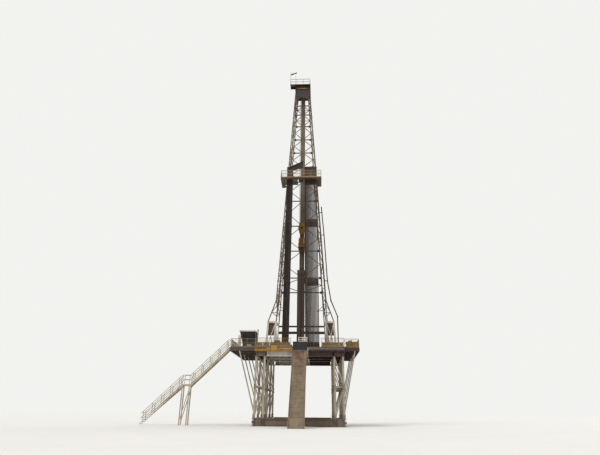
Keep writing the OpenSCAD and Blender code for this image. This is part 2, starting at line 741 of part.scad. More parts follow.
lower_levels = [foot_h + 0.42 * flare_h, flare_top, girts[0]];
upper_levels = halved([for (z = girts) if (z > section_z) z]);
top_levels = [for (share = [0.25, 0.46, 0.7, 0.93]) top_z + share * (mast_h - top_z)];
module both_legs(levels, z0, z1) on_floor() for (side = [-1, 1]) mirrored(side) leg(levels, z0, z1);
knee_z = [0.88 * flare_top, 0.96 * flare_top];
knee_reach = 80;
module mast_lower() at_well() color([0.66, 0.60, 0.50]) {
    both_legs(lower_levels, foot_h, section_z);
    on_floor() for (side = [-1, 1], z = knee_z) mirrored(side)
        bar([inner_x(z), mast_back, z], [inner_x(z) - knee_reach, mast_back, knee_z[0] - 22], brace_s, brace_s);
}
module mast_upper() at_well() color([0.60, 0.54, 0.44]) both_legs(upper_levels, section_z, top_z);
module mast_top() at_well() color([0.30, 0.13, 0.11]) both_legs(top_levels, top_z, mast_h);

// Girts with diamond bracing between the inner back chords
module back_panel(zs, z0, z1) {
    difference() {
        between(z0, z1) {
            for (z = zs)
                bar([-inner_x(z), mast_back, z], [inner_x(z), mast_back, z], girt_s, girt_s);
            for (i = [0 : len(zs) - 2], s = [-1, 1]) {
                m = (zs[i] + zs[i + 1]) / 2;
                bar([0, mast_back, zs[i]], [s * inner_x(m), mast_back, m], back_brace_s, back_brace_s);
                bar([0, mast_back, zs[i + 1]], [s * inner_x(m), mast_back, m], back_brace_s, back_brace_s);
            }
        }
        for (s = [-1, 1])
            bar([s * inner_x(z0 - 50), mast_back, z0 - 50], [s * inner_x(z1 + 50), mast_back, z1 + 50],
                chord_s, chord_s);
    }
}
module mast_back() at_well() color([0.34, 0.24, 0.17]) on_floor()
    back_panel(girts, girts[0] - girt_s, top_z);
module mast_top_back() at_well() color([0.28, 0.12, 0.10]) on_floor()
    back_panel(top_girts, top_z, mast_h);

// Two heavy girders across the back between the foot frames
module mast_portal_girders() at_well() color([0.32, 0.22, 0.15]) on_floor()
    difference() {
        for (i = [0, 1]) {
            z = portal_girts[i];
            h = i == 0 ? 34 : 22;
            bar([-inner_x(z), mast_back, z], [inner_x(z), mast_back, z], h, girt_s);
        }
        for (s = [-1, 1]) mirrored(s)
            bar([inner_x(-20), mast_back, -20], [inner_x(flare_top), mast_back, flare_top],
                chord_s + 2, chord_s + 2);
    }

// Crown: ring of beams, two sheave beams and their bearings
crown_half = mast_half_top + 8;
crown_top = mast_h + crown_beam_h;
crown_deck_t = 8;
axle_z = crown_top + 6;
axle_d = 16;
sheave_beam_y = 40;
module crown_frame() at_well() color([0.16, 0.12, 0.11]) on_floor() translate([0, 0, mast_h]) {
    w = 18;
    x0 = -crown_half;
    y0 = -mast_front - w / 2;
    y1 = mast_back + w / 2;
    for (y = [-mast_front, mast_back]) translate([x0, y, 0]) beam_x(2 * crown_half, crown_beam_h, w);
    for (x = [x0 + w / 2, -x0 - w / 2]) translate([x, y0, 0]) beam_y(y1 - y0, crown_beam_h, w);
    difference() {
        for (s = [-1, 1]) {
            translate([x0 + 4, s * sheave_beam_y - 5, 0]) cube([2 * crown_half - 8, 10, crown_beam_h]);
            translate([0, s * sheave_beam_y + 5, crown_beam_h + 6]) rotate([90, 0, 0])
                cylinder(r = axle_d, h = 10);
        }
        translate([0, big, crown_beam_h + 6]) rotate([90, 0, 0]) cylinder(d = axle_d, h = 2 * big);
    }
    fast_stand();
}

// Dark plates that close the mast under the crown, the front one over an arch
module crown_plate(y, z0) translate([0, y + 3, 0]) rotate([90, 0, 0]) linear_extrude(6) {
    z1 = mast_h - 0.3;
    a0 = inner_x(z0) - chord_s / 2 - 0.5;
    a1 = inner_x(z1) - chord_s / 2 - 0.5;
    arch_r = a0 - 8;
    difference() {
        polygon([[-a0, z0], [a0, z0], [a1, z1], [-a1, z1]]);
        if (z0 < plate_high - 1) translate([0, plate_high - arch_r]) circle(r = arch_r);
    }
}
module crown_plates() at_well() color([0.14, 0.10, 0.09]) on_floor() {
    crown_plate(-mast_front, plate_low);
    crown_plate(mast_back, plate_high);
}

// Grooved sheave about the Y axis, centred on the origin
module sheave() rotate([90, 0, 0]) rotate_extrude()
    polygon([[7.9, -sheave_w / 2], [sheave_r, -sheave_w / 2], [sheave_r, -line_d / 2],
             [sheave_r - line_d, 0], [sheave_r, line_d / 2], [sheave_r, sheave_w / 2],
             [7.9, sheave_w / 2]]);

// The fast line leaves the crown over its own sheave, which turns about the X axis
fast_x = 22;
fast_y = mast_back + 19 - sheave_r;
fast_z = crown_beam_h + crown_deck_t + sheave_r + 4;
module fast_stand() for (s = [-1, 1]) translate([fast_x + s * (sheave_w / 2 + 6) - 3, fast_y, 0])
    difference() {
        union() {
            translate([0, -16, crown_beam_h + crown_deck_t + 0.3]) cube([6, 32, sheave_r + 4]);
            translate([0, 0, fast_z]) rotate([0, 90, 0]) cylinder(r = 16, h = 6);
        }
        translate([-1, 0, fast_z]) rotate([0, 90, 0]) cylinder(d = axle_d, h = 8);
    }

crown_n = 5;
sheave_pitch = sheave_w + 3;
// The crown cluster turns on one axle, so its sheaves and axle are one fused piece
module crown_sheaves() at_well() color([0.30, 0.27, 0.22]) on_floor() translate([0, 0, axle_z]) {
    for (i = [0 : crown_n - 1]) translate([0, (i - (crown_n - 1) / 2) * sheave_pitch, 0]) sheave();
    translate([0, sheave_beam_y + 9, 0]) rotate([90, 0, 0])
        cylinder(d = axle_d - 0.2, h = 2 * sheave_beam_y + 18);
    translate([fast_x, fast_y, fast_z - crown_beam_h - 6]) {
        rotate([0, 0, 90]) sheave();
        translate([-sheave_w / 2 - 12, 0, 0]) rotate([0, 90, 0])
            cylinder(d = axle_d - 0.2, h = sheave_w + 24);
    }
}

module crown_platform() at_well() color([0.22, 0.19, 0.17]) on_floor() translate([0, 0, crown_top]) {
    hole_x = sheave_r + 8;
    difference() {
        union() {
            translate([-crown_half, -crown_deck_front, 0])
                cube([2 * crown_half, crown_deck_front + crown_deck_back, crown_deck_t]);
            translate([-crown_half - crown_ext, -crown_deck_front, 0]) cube([crown_ext + 1, 96, crown_deck_t]);
        }
        translate([-hole_x, -sheave_beam_y - 12, -1]) cube([2 * hole_x, 2 * sheave_beam_y + 24, 40]);
        translate([fast_x - 12, fast_y + sheave_r - 8, -1]) cube([24, 24, 40]);
    }
    for (y = [-crown_deck_front, -crown_deck_front + 84])
        translate([-crown_half - crown_ext, y, -22]) cube([crown_ext + 0.0, 12, 22]);
}

module crown_handrails() at_well() color([0.55, 0.50, 0.44]) on_floor()
    translate([0, 0, crown_top + crown_deck_t]) {
        x0 = -crown_half + rail_d;
        x1 = crown_half - rail_d;
        xe = x0 - crown_ext;
        y0 = -crown_deck_front + rail_d;
        y1 = crown_deck_back - rail_d;
        handrail([xe, y0], [x1 - 2 * rail_d, y0], false);
        handrail([x1, y0], [x1, y1], false);
        handrail([x0 + 2 * rail_d, y1], [x1 - 2 * rail_d, y1], false);
        handrail([x0, y0 + 96], [x0, y1], false);
    }

pole_d = 5;
pole_x = -crown_half - crown_ext + 3;
pole_y = -crown_deck_front + 14;
module flagpole() at_well() color([0.50, 0.46, 0.42]) on_floor()
    translate([pole_x, pole_y, crown_top + crown_deck_t]) cylinder(d = pole_d, h = flagpole_h, $fn = 24);

flag_l = 100;
flag_h = 52;
module flag() at_well() color([0.22, 0.12, 0.10]) on_floor()
    translate([pole_x + pole_d / 2 + 0.3, pole_y - 1, crown_top + flagpole_h - flag_h - 6])
        rotate([90, 0, 0]) mirror([0, 0, 1]) linear_extrude(2)
            polygon([[0, 0], [flag_l, 26], [flag_l, 26 + flag_h * 0.8], [0, flag_h]]);

// Racking board: walkways on three sides, fingers between the rows and brackets to the legs
board_back = mast_front + chord_s / 2 + 0.3;
left_back = 50;
right_walk = 60;
board_x0 = -board_half;
board_x1 = board_half - 10;
module fingers(xa, xb) {
    for (i = [0 : row_n]) {
        y = row_y0 - row_pitch / 2 + i * row_pitch;
        translate([xa, y - finger_w / 2, -10]) cube([xb - xa, finger_w, 10]);
    }
}
module racking_board() at_well() color([0.46, 0.42, 0.34]) on_floor() translate([0, 0, board_z]) {
    y0 = -board_front;
    leg = mast_half(board_z - board_t) + 0.3;
    translate([board_x0, y0, -board_t]) cube([board_x1 - board_x0, walk_w, board_t]);
    translate([board_x0, y0, -board_t]) cube([walk_w, board_front - left_back, board_t]);
    translate([board_x1 - right_walk, y0, -board_t]) cube([right_walk, board_front - board_back, board_t]);
    fingers(board_x0 + walk_w - 1, -diving_half - 14);
    fingers(diving_half + 6, board_x1 - right_walk + 1);
    translate([board_x0 + walk_w - 1, -mast_front - 6, -board_t])
        cube([-leg - board_x0 - walk_w + 1, 12, board_t]);
}
module racking_board_handrails() at_well() color([0.62, 0.50, 0.38]) on_floor() translate([0, 0, board_z]) {
    xl = board_x0 + rail_d;
    xr = board_x1 - rail_d;
    y0 = -board_front + rail_d;
    handrail([xl, y0], [xr, y0], false);
    handrail([xl, y0 + 2 * rail_d], [xl, -left_back - rail_d], false);
    handrail([xr, y0 + 2 * rail_d], [xr, -board_back - rail_d], false);
    translate([40, y0 + 8, 0]) cube([4, 4, 200]);
}
// Diving board laid over the front walkway, reaching in towards the well
diving_t = 12;
module diving_board() at_well() color([0.20, 0.18, 0.16]) on_floor() translate([0, 0, board_z]) {
    y0 = -board_front + 2 * rail_d;
    translate([-diving_half - 3, y0, 0]) cube([2 * diving_half - 14, -diving_tip - y0, diving_t]);
}

// Slanted wind wall over the front walkway: two posts, a pole between them and the cloth behind
wind_x = [-194, 22];
wind_top = [162, 266];
wind_low = [83, 158];
wind_foot = [0, diving_t];
wind_y = -board_front + 15;
wind_s = 6;
module wind_wall() at_well() color([0.13, 0.10, 0.09]) on_floor() translate([0, wind_y, board_z]) {
    for (i = [0, 1])
        translate([wind_x[i] - wind_s / 2, -wind_s / 2, wind_foot[i]])
            cube([wind_s, wind_s, wind_top[i] + 14 - wind_foot[i]]);
    bar([wind_x[0], 0, wind_top[0]], [wind_x[1], 0, wind_top[1]], wind_s - 1, wind_s - 1);
    translate([0, wind_s / 2 + 2.3, 0]) rotate([90, 0, 0]) linear_extrude(2)
        polygon([[wind_x[0], wind_low[0]], [wind_x[1], wind_low[1]],
                 [wind_x[1], wind_top[1] + 2], [wind_x[0], wind_top[0] + 2]]);
}

// One row of stands, leaning by lean degrees towards the well centre, fused at its tool joints
module pipe_row(n, l, joints, lean) {
    for (i = [0 : n - 1]) translate([i * pipe_pitch, 0, 0]) rotate([0, lean, 0]) {
        cylinder(d = pipe_d, h = l, $fn = 24);
        for (j = [0 : joints]) {
            z = min(j * l / joints, l - tool_joint_l);
            translate([0, 0, j == 0 || j == joints ? z : z - tool_joint_l / 2])
                cylinder(d = tool_joint_d, h = tool_joint_l, $fn = 24);
        }
    }
}
module stack(x, n, l, joints, lean, rows) at_well() on_floor() translate([x, row_y0, mat_t + 0.3])
    for (k = [0 : rows - 1]) translate([0, k * row_pitch, 0]) pipe_row(n, l, joints, lean);
module stands_left() color([0.17, 0.14, 0.12]) stack(left_x0, left_n, stand_l, joints_per_stand, 0.5, row_n);
module stands_right() color([0.30, 0.27, 0.24]) stack(right_x0, right_n, stand_l, joints_per_stand, -0.55, row_n);
module singles_middle() color([0.32, 0.28, 0.25]) stack(single_x0, single_n, single_l, 1, 0, row_n - 2);

// Standpipe outside the right leg, standing clear of the foot and then following the leg
standpipe_d = 15;
standpipe_z = [0, 1.166 * foot_h, flare_top, section_z, 0.384 * mast_h, 0.468 * mast_h, 0.4904 * mast_h];
standpipe_gap = [32, 76, 67, 40, 44, 39, 38];
function standpipe_x(i) = standpipe_gap[i] + (i == 0 ? foot_out(0) : front_out(standpipe_z[i]));
module standpipe() at_well() color([0.24, 0.13, 0.10]) on_floor() {
    y = -mast_front;
    pts = [for (i = [0 : len(standpipe_z) - 1]) [standpipe_x(i), y, max(standpipe_z[i], 4)]];
    translate([pts[0][0], y, 0]) cylinder(d = standpipe_d + 9, h = 7);
    for (i = [0 : len(pts) - 2]) {
        rod(pts[i], pts[i + 1], standpipe_d);
        if (i > 0) translate(pts[i] - [0, 0, 9]) cylinder(d = standpipe_d + 4, h = 18);
    }
    for (i = [3 : len(pts) - 2]) {
        z = pts[i][2] - 4;
        x = outer_x(z) + chord_s / 2 + 0.6;
        translate([x, y - 4, z]) cube([pts[i][0] - x, 8, 8]);
    }
}

// Torque rail behind the top drive, hung from the crown and tied to the back girts
rail_y = 118;
rail_w = 68;
rail_flange = 5;
rail_depth = 22;
module torque_rail() at_well() color([0.38, 0.33, 0.28]) on_floor() {
    z0 = foot_h - 56;
    h = mast_h - z0;
    for (y = [rail_y, rail_y + rail_depth - rail_flange])
        translate([-rail_w / 2, y, z0]) cube([rail_w, rail_flange, h]);
    translate([-3, rail_y + 1, z0]) cube([6, rail_depth - 2, h]);
    for (z = [girts[1], girts[3], girts[5], girts[8]])
        translate([-8, rail_y + rail_depth - 1, z - 5])
            cube([16, mast_back - girt_s / 2 - rail_y - rail_depth + 1, 10]);
}

// Drawworks on the rear floor: skid, bearing stands, gear case and motor
drum_half = drum_l / 2;
flange_t = 6;
stand_in = drum_half + flange_t + 3;
stand_t = 12;
dw_skid_h = 22;
module drawworks() at_well() color([0.38, 0.36, 0.22]) on_floor() translate([0, drawworks_y, 0]) {
    half = 235;
    deep = 115;
    difference() {
        translate([-half, -deep, 0]) cube([2 * half, 2 * deep, dw_skid_h]);
        for (x = [-half + 18, 8]) translate([x, -deep + 18, -1]) cube([half - 26, 2 * deep - 36, dw_skid_h + 2]);
    }
    for (s = [-1, 1]) translate([s * (stand_in + stand_t / 2), 0, 0]) difference() {
        rotate([0, 90, 0]) translate([0, 0, -stand_t / 2]) linear_extrude(stand_t) {
            polygon([[-dw_skid_h + 2, -deep + 2], [-dw_skid_h + 2, deep - 2], [-drum_z, 34], [-drum_z, -34]]);
            translate([-drum_z, 0]) circle(r = 34);
        }
        translate([-stand_t, 0, drum_z]) rotate([0, 90, 0]) cylinder(d = axle_d + 0.2, h = 2 * stand_t);
    }
    case_x = stand_in + stand_t + 4;
    translate([case_x, 0, dw_skid_h - 1]) rotate([90, 0, 90]) linear_extrude(half - case_x)
        polygon([[-84, 0], [84, 0], [84, 118], [56, 160], [-56, 160], [-84, 118]]);
    translate([-half + 4, 0, dw_skid_h + 62]) {
        rotate([0, 90, 0]) cylinder(r = 46, h = half - case_x - 4);
        translate([0, -50, -63]) cube([half - case_x - 4, 100, 30]);
        translate([24, -28, 30]) cube([60, 56, 34]);
    }
}
module drawworks_drum() at_well() color([0.35, 0.32, 0.28]) on_floor() translate([0, drawworks_y, drum_z])
    rotate([0, 90, 0]) {
        translate([0, 0, -drum_half]) cylinder(r = drum_r, h = drum_l);
        for (z = [-drum_half - flange_t, drum_half]) translate([0, 0, z]) cylinder(r = 62, h = flange_t);
        translate([0, 0, -stand_in - stand_t - 2])
            cylinder(d = axle_d, h = 2 * (stand_in + stand_t + 2));
    }
module fast_line() at_well() color([0.35, 0.32, 0.28]) on_floor()
    rod([fast_x, drawworks_y - drum_r - line_d / 2 - 0.3, drum_z],
        [fast_x, fast_y + sheave_r + line_d / 2 + 0.3, mast_h + fast_z], line_d);

// Air winch by the left front rail
module air_winch() at_well() color([0.66, 0.58, 0.36]) on_floor() translate([-289, -402, 0]) {
    translate([-36, -26, 0]) cube([72, 52, 5]);
    translate([-26, -18, 4]) cube([52, 36, 34]);
    for (x = [-30, 24]) translate([x, -20, 4]) cube([6, 40, 84]);
    translate([-29, 0, 68]) rotate([0, 90, 0]) cylinder(r = 15, h = 58);
    for (x = [-24, 20]) translate([x, 0, 68]) rotate([0, 90, 0]) cylinder(r = 24, h = 4);
    translate([29, 0, 68]) rotate([0, 90, 0]) cylinder(r = 14, h = 16);
}

// Locker with its lid
module locker(w, d, h) {
    cube([w, d, h]);
    translate([-2, -2, h]) cube([w + 4, d + 4, 5]);
}
module floor_lockers() at_well() color([0.60, 0.50, 0.22]) on_floor() {
    translate([floor_w / 2 + 24, platform_y0 + 14, 0]) locker(140, 34, 68);
    translate([floor_w / 2 + 52, platform_y0 + 20, 73]) cube([44, 22, 16]);
}

// Lamp posts by the cabin and on the crown, with the pale cabinet left of the cabin
module lamp_posts() at_well() color([0.78, 0.76, 0.72]) on_floor() {
    translate([cabin_x0 - 46, cabin_y0 - 90, 0]) locker(32, 32, 170);
    translate([-floor_w / 2 - 12, cabin_y0 - 20, 0]) {
        translate([-3, -3, 0]) cube([6, 6, 226]);
        translate([-9, -13, 220]) cube([18, 24, 46]);
    }
    translate([-122, -crown_deck_front + 20, crown_top + crown_deck_t]) {
        translate([-2, -2, 0]) cube([4, 4, 176]);
        translate([-5, -5, 172]) cube([10, 10, 18]);
    }
}

// Drilling lines between the crown and the block, beside their sheaves
line_x = sheave_r + line_d / 2 + 0.3;
line_n = 4;
module drilling_lines() at_well() color([0.35, 0.32, 0.28]) on_floor()
    for (s = [-1, 1], i = [0 : line_n - 1])
        translate([s * line_x, (i - (line_n - 1) / 2) * sheave_pitch, block_z])
            cylinder(d = line_d, h = axle_z - block_z, $fn = 12);

// Travelling block: two egg-shaped cheek plates over four sheaves
cheek_t = 9;
module cheek() {
    circle(d = block_w);
    polygon([[-block_w / 2 + 4, 20], [-26, 95], [26, 95], [block_w / 2 - 4, 20]]);
    polygon([[-block_w / 2 + 4, -20], [-24, -110], [24, -110], [block_w / 2 - 4, -20]]);
}
module travelling_block() at_well() color([0.62, 0.45, 0.12]) on_floor() translate([0, 0, block_z]) {
    for (s = [-1, 1]) translate([0, s * (block_t - cheek_t) / 2 + cheek_t / 2, 0])
        rotate([90, 0, 0]) linear_extrude(cheek_t) cheek();
    for (i = [0 : line_n - 1]) translate([0, (i - (line_n - 1) / 2) * sheave_pitch, 0]) sheave();
    translate([0, block_t / 2 - 1, 0]) rotate([90, 0, 0]) cylinder(d = axle_d, h = block_t - 2);
    translate([-20, -block_t / 2 + 1, 74]) cube([40, block_t - 2, 20]);
    translate([-20, -block_t / 2 + 1, -108]) cube([40, block_t - 2, 44]);
}

// Top drive: housing, motor, dolly that runs on the torque rail, and the pipe handler below
drive_top = block_z - hook_drop;
drive_z = drive_top - drive_h;
pivot_z = drive_z - 32;
dolly_x = rail_w / 2 + 15;
link_x = 27;
link_d = 9;
pin_d = 8;
module top_drive() at_well() color([0.58, 0.42, 0.12]) on_floor() {
    translate([-drive_w / 2, -42, drive_z]) cube([drive_w, 100, drive_h * 0.42]);
    translate([-drive_w / 2 + 8, -34, drive_z + 10]) cube([drive_w - 16, 84, drive_h - 10]);
    translate([0, 8, drive_z + drive_h * 0.4]) cylinder(r = drive_w / 2 - 3, h = drive_h * 0.6);
    for (z = [drive_z - 20, drive_z + drive_h - 40]) translate([-dolly_x, 40, z])
        cube([2 * dolly_x, rail_y - 46, 40]);
    for (s = [-1, 1]) translate([s * (dolly_x - 5) - 5, rail_y - 26, drive_z - 20])
        cube([10, rail_depth + 30, drive_h + 20]);
    translate([-28, -28, drive_z - 16]) cube([56, 56, 17]);
    for (s = [-1, 1]) translate([s * (link_x - 12) - 3, -12, pivot_z - 12]) cube([6, 24, 36]);
    translate([-link_x - 7, 0, pivot_z]) rotate([0, 90, 0]) cylinder(d = pin_d, h = 2 * link_x + 14);
    translate([0, 0, drive_z - 76]) cylinder(d = 16, h = 80);
    for (s = [-1, 1])
        translate([s * 22 - 5, -10, drive_top - 1]) cube([10, 20, block_z - 108.3 - drive_top + 1]);
    translate([0, 0, drive_top - 1]) cylinder(d = 30, h = block_z - 108.3 - drive_top + 1);
}

module elevator_links() at_well() color([0.20, 0.17, 0.15]) on_floor()
    for (s = [-1, 1]) translate([s * link_x, 0, pivot_z]) {
        difference() {
            union() {
                translate([-link_d / 2, 0, 0]) rotate([0, 90, 0]) cylinder(r = pin_d / 2 + 5, h = link_d);
                translate([-link_d / 2, -5, -link_l]) cube([link_d, 10, link_l - 6]);
                translate([-link_d / 2, 0, -link_l]) rotate([0, 90, 0]) cylinder(r = 9, h = link_d);
            }
            translate([-link_d, 0, 0]) rotate([0, 90, 0]) cylinder(d = pin_d + 0.6, h = 3 * link_d);
            translate([-link_d, 0, -link_l]) rotate([0, 90, 0]) cylinder(d = pin_d + 0.6, h = 3 * link_d);
        }
    }

module elevator() at_well() color([0.28, 0.25, 0.22]) on_floor() translate([0, 0, pivot_z - link_l]) {
    difference() {
        union() {
            translate([0, 0, -22]) cylinder(d = 2 * (link_x - link_d / 2) - 2, h = 34);
            translate([-link_x - 7, 0, 0]) rotate([0, 90, 0]) cylinder(d = pin_d, h = 2 * link_x + 14);
        }
        translate([0, 0, -40]) cylinder(d = elevator_bore, h = 80);
    }
}

base_skids();
base_spreaders();
side_frames();
floor_boxes();
floor_spreaders();
drill_floor();
rotary_table();
setback_mats();
edge_beams();
v_door_ramp();
v_door_gate();
v_door_rails();
side_platforms();
platform_struts();
floor_handrails();
platform_handrails();
cabin_floor();
cabin_walls();
cabin_glass();
cabin_door();
cabin_roof();
stair_stringers();
stair_treads();
stair_landing();
stair_handrails();
mast_feet();
mast_portal_girders();
mast_lower();
mast_upper();
mast_top();
mast_back();
mast_top_back();
crown_frame();
crown_plates();
crown_sheaves();
crown_platform();
crown_handrails();
flagpole();
flag();
racking_board();
racking_board_handrails();
diving_board();
wind_wall();
stands_left();
stands_right();
singles_middle();
standpipe();
torque_rail();
drilling_lines();
drawworks();
drawworks_drum();
fast_line();
air_winch();
floor_lockers();
lamp_posts();
travelling_block();
top_drive();
elevator_links();
elevator();
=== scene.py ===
"""Land drilling rig at one tenth of full size: looks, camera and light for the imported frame.

Places are in millimetres about the well centre, with height above the drill floor, as in the
part's own source. Shape.finish turns them into metres in the frame.
"""
import json
import math

import bmesh
import bpy
from mathutils import Matrix, Vector


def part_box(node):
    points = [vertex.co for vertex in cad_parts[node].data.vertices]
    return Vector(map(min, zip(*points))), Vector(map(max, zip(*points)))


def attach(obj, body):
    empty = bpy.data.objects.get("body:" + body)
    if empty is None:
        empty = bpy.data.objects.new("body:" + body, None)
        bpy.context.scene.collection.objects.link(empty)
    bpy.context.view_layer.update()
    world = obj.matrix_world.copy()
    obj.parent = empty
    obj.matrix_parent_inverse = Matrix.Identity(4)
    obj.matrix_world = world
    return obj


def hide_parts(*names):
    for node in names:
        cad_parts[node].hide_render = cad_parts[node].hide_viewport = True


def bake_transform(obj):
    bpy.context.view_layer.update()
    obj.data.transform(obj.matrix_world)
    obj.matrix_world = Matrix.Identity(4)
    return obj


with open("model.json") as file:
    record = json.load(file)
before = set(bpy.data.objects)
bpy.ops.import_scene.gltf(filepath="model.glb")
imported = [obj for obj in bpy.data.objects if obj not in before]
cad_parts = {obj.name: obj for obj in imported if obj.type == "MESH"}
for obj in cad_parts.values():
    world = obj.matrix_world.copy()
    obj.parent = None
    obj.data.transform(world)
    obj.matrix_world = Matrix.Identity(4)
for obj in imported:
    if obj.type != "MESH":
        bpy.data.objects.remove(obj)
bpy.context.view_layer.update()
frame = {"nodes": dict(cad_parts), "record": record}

table_low, table_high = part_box("rotary_table")
FLOOR_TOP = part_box("drill_floor")[1].z
WELL = Vector(((table_low.x + table_high.x) / 2, (table_low.y + table_high.y) / 2, FLOOR_TOP))
TO_FRAME = Matrix.Translation(WELL) @ Matrix.Scale(0.001, 4)

# Sizes of the rig, which repeat the driving dimensions of the part's own source

# Drill floor: height over the ground, width, and well centre to its front and back edges
FLOOR_H, FLOOR_W, FLOOR_FRONT, FLOOR_BACK = 914, 1120, 450, 800
# Side frames and skids, floor boxes, deck plate; size of a column and columns in a side frame
SIDE_W, SKID_H, BOX_H, DECK_T = 150, 90, 98, 16
COLUMN_S, COLUMN_N = 22, 4
# Mast: height, half width at its top, widening per millimetre down, and planes of its faces
MAST_H, HALF_TOP, LEAN = 4270, 121, 0.0638
MAST_FRONT, MAST_BACK = -75, 165
# Width of a leg at its foot and top, and size of its chords
LEG_FOOT, LEG_TOP, CHORD = 58, 40, 13
# Foot frames: height, how far they stand outward, and width
FOOT_H, FOOT_SHIFT, FOOT_W = 386, 20, 118
# Girts at the back, those of the dark top, joints between the mast's sections, and the crown
GIRTS = [841, 1059, 1476, 1880, 2304, 2640, 2914, 3179, 3432, 3693]
TOP_GIRTS = [GIRTS[-1], 3930, 4116]
SECTION_Z, TOP_Z, CROWN_TOP = 950, 3706, 4336
# Axis of the crown's sheaves; radius of the guard over them and its rings' distance from the middle
SHEAVE_Z, GUARD_R, GUARD_Y = CROWN_TOP + 6, 45, 27
# Dark plates under the crown: foot and arch of the front one, foot of the back one
PLATE_LOW, ARCH_TOP, BACK_PLATE_LOW = 4020.5, 4104, 4226
# Racking board: height, half width, front edge and width of its walkway
BOARD_Z, BOARD_HALF, BOARD_FRONT, WALK_W = 2450, 305, -370, 55
# Racked pipe: rows, pipes in a row, bore, and where the first row and the feet of the pipes are
ROW_PITCH, ROW_N, PIPE_PITCH, PIPE_BORE = 27, 7, 17, 7.6
ROW_Y0, PIPE_FOOT = BOARD_FRONT + WALK_W + 14, 9.3
# First pipe, pipes in a row, length, lean in degrees and rows of each bundle
STANDS = {
    "left": (-232, 5, 2640, 0.5, ROW_N),
    "right": (72, 11, 2640, -0.55, ROW_N),
    "singles": (-39, 6, 1030, 0, ROW_N - 2),
}
# Travelling block, top drive, and the links with their pins; drilling ropes beside their sheaves
BLOCK_Z, DRIVE_Z, DRIVE_H = 1775, 1465, 150
PIVOT_Z, LINK_L, LINK_X = 1433, 285, 27
ROPE_D, ROPE_X, ROPE_PITCH, ROPE_TOP = 3.5, 38.05, 11, SHEAVE_Z
# Side platforms: widths, front edge and size of a handrail's tube
LEFT_W, RIGHT_W, PLATFORM_Y0, RAIL_D = 330, 190, -385, 5
# Driller's cabin, drawworks, stair, ramp and gate
CABIN_W, CABIN_L, CABIN_H, CABIN_FLARE, CABIN_FRONT = 170, 260, 240, 40, 110
DRAWWORKS_Y, DRUM_L, DRUM_R, DRUM_Z = 480, 140, 40, 107
STAIR_W, STAIR_ANGLE, RISERS_UP, RISERS_LOW, LANDING_L = 84, 44, 22, 23, 100
RAMP_ANGLE, RAMP_TOP = 50, -52
GATE_X0, GATE_X1, GATE_LOW, GATE_HIGH = -84, 95, -38, 62
# Beams along the floor's edge, which are maroon from MAROON_X to the right
EDGE_LOW, EDGE_HIGH, MAROON_X = -56, -24, 108

# Half the floor's width, faces of its front beams and of their ribs, and planes of the side frames
FLOOR_X = FLOOR_W / 2
BEAM_FACE, RIB_FACE = -FLOOR_FRONT - 12, -FLOOR_FRONT - 15
SIDE_X = FLOOR_X - SIDE_W / 2
PLANE_OFF = SIDE_W / 2 - COLUMN_S
RISE = FLOOR_H / (RISERS_UP + RISERS_LOW)
GOING = RISE / math.tan(math.radians(STAIR_ANGLE))


def mast_half(z):
    return HALF_TOP + LEAN * (MAST_H - z)


def inner_x(z):
    return mast_half(z) - LEG_FOOT - (LEG_TOP - LEG_FOOT) * z / MAST_H + CHORD / 2


def outer_x(z):
    return mast_half(z) - CHORD / 2


def column_y(i):
    first, last = -FLOOR_FRONT + COLUMN_S, FLOOR_BACK - COLUMN_S
    return first + (last - first) * i / (COLUMN_N - 1)


# Camera

CAM_OFFSET = Vector((0.24, -6.2, 0.16))
CAM_YAW, CAM_PITCH, CAM_ROLL = math.radians(2.48), math.radians(22.3), math.radians(0.57)

camera_data = bpy.data.cameras.new("camera")
camera_data.lens = 27.0
camera_data.sensor_width = 36.0
camera = bpy.data.objects.new("camera", camera_data)
camera.matrix_world = (
    Matrix.Translation((WELL.x + CAM_OFFSET.x, WELL.y + CAM_OFFSET.y, CAM_OFFSET.z))
    @ Matrix.Rotation(CAM_YAW, 4, "Z")
    @ Matrix.Rotation(math.pi / 2 + CAM_PITCH, 4, "X")
    @ Matrix.Rotation(CAM_ROLL, 4, "Z")
)
bpy.context.scene.collection.objects.link(camera)
bpy.context.scene.camera = camera

# Materials


def linear(color):
    """Colours are written as they show on screen; the shader wants them linear."""
    return tuple(c / 12.92 if c <= 0.04045 else ((c + 0.055) / 1.055) ** 2.4 for c in color) + (1,)


def add_node(tree, kind, inputs, **settings):
    """A new node: each input is a socket to link or a value, under its name or number."""
    node = tree.nodes.new("ShaderNode" + kind)
    for name, value in settings.items():
        setattr(node, name, value)
    for key, value in inputs.items():
        socket = node.inputs[key]
        if isinstance(value, bpy.types.NodeSocket):
            tree.links.new(value, socket)
        else:
            socket.default_value = linear(value) if socket.type == "RGBA" else value
    return node


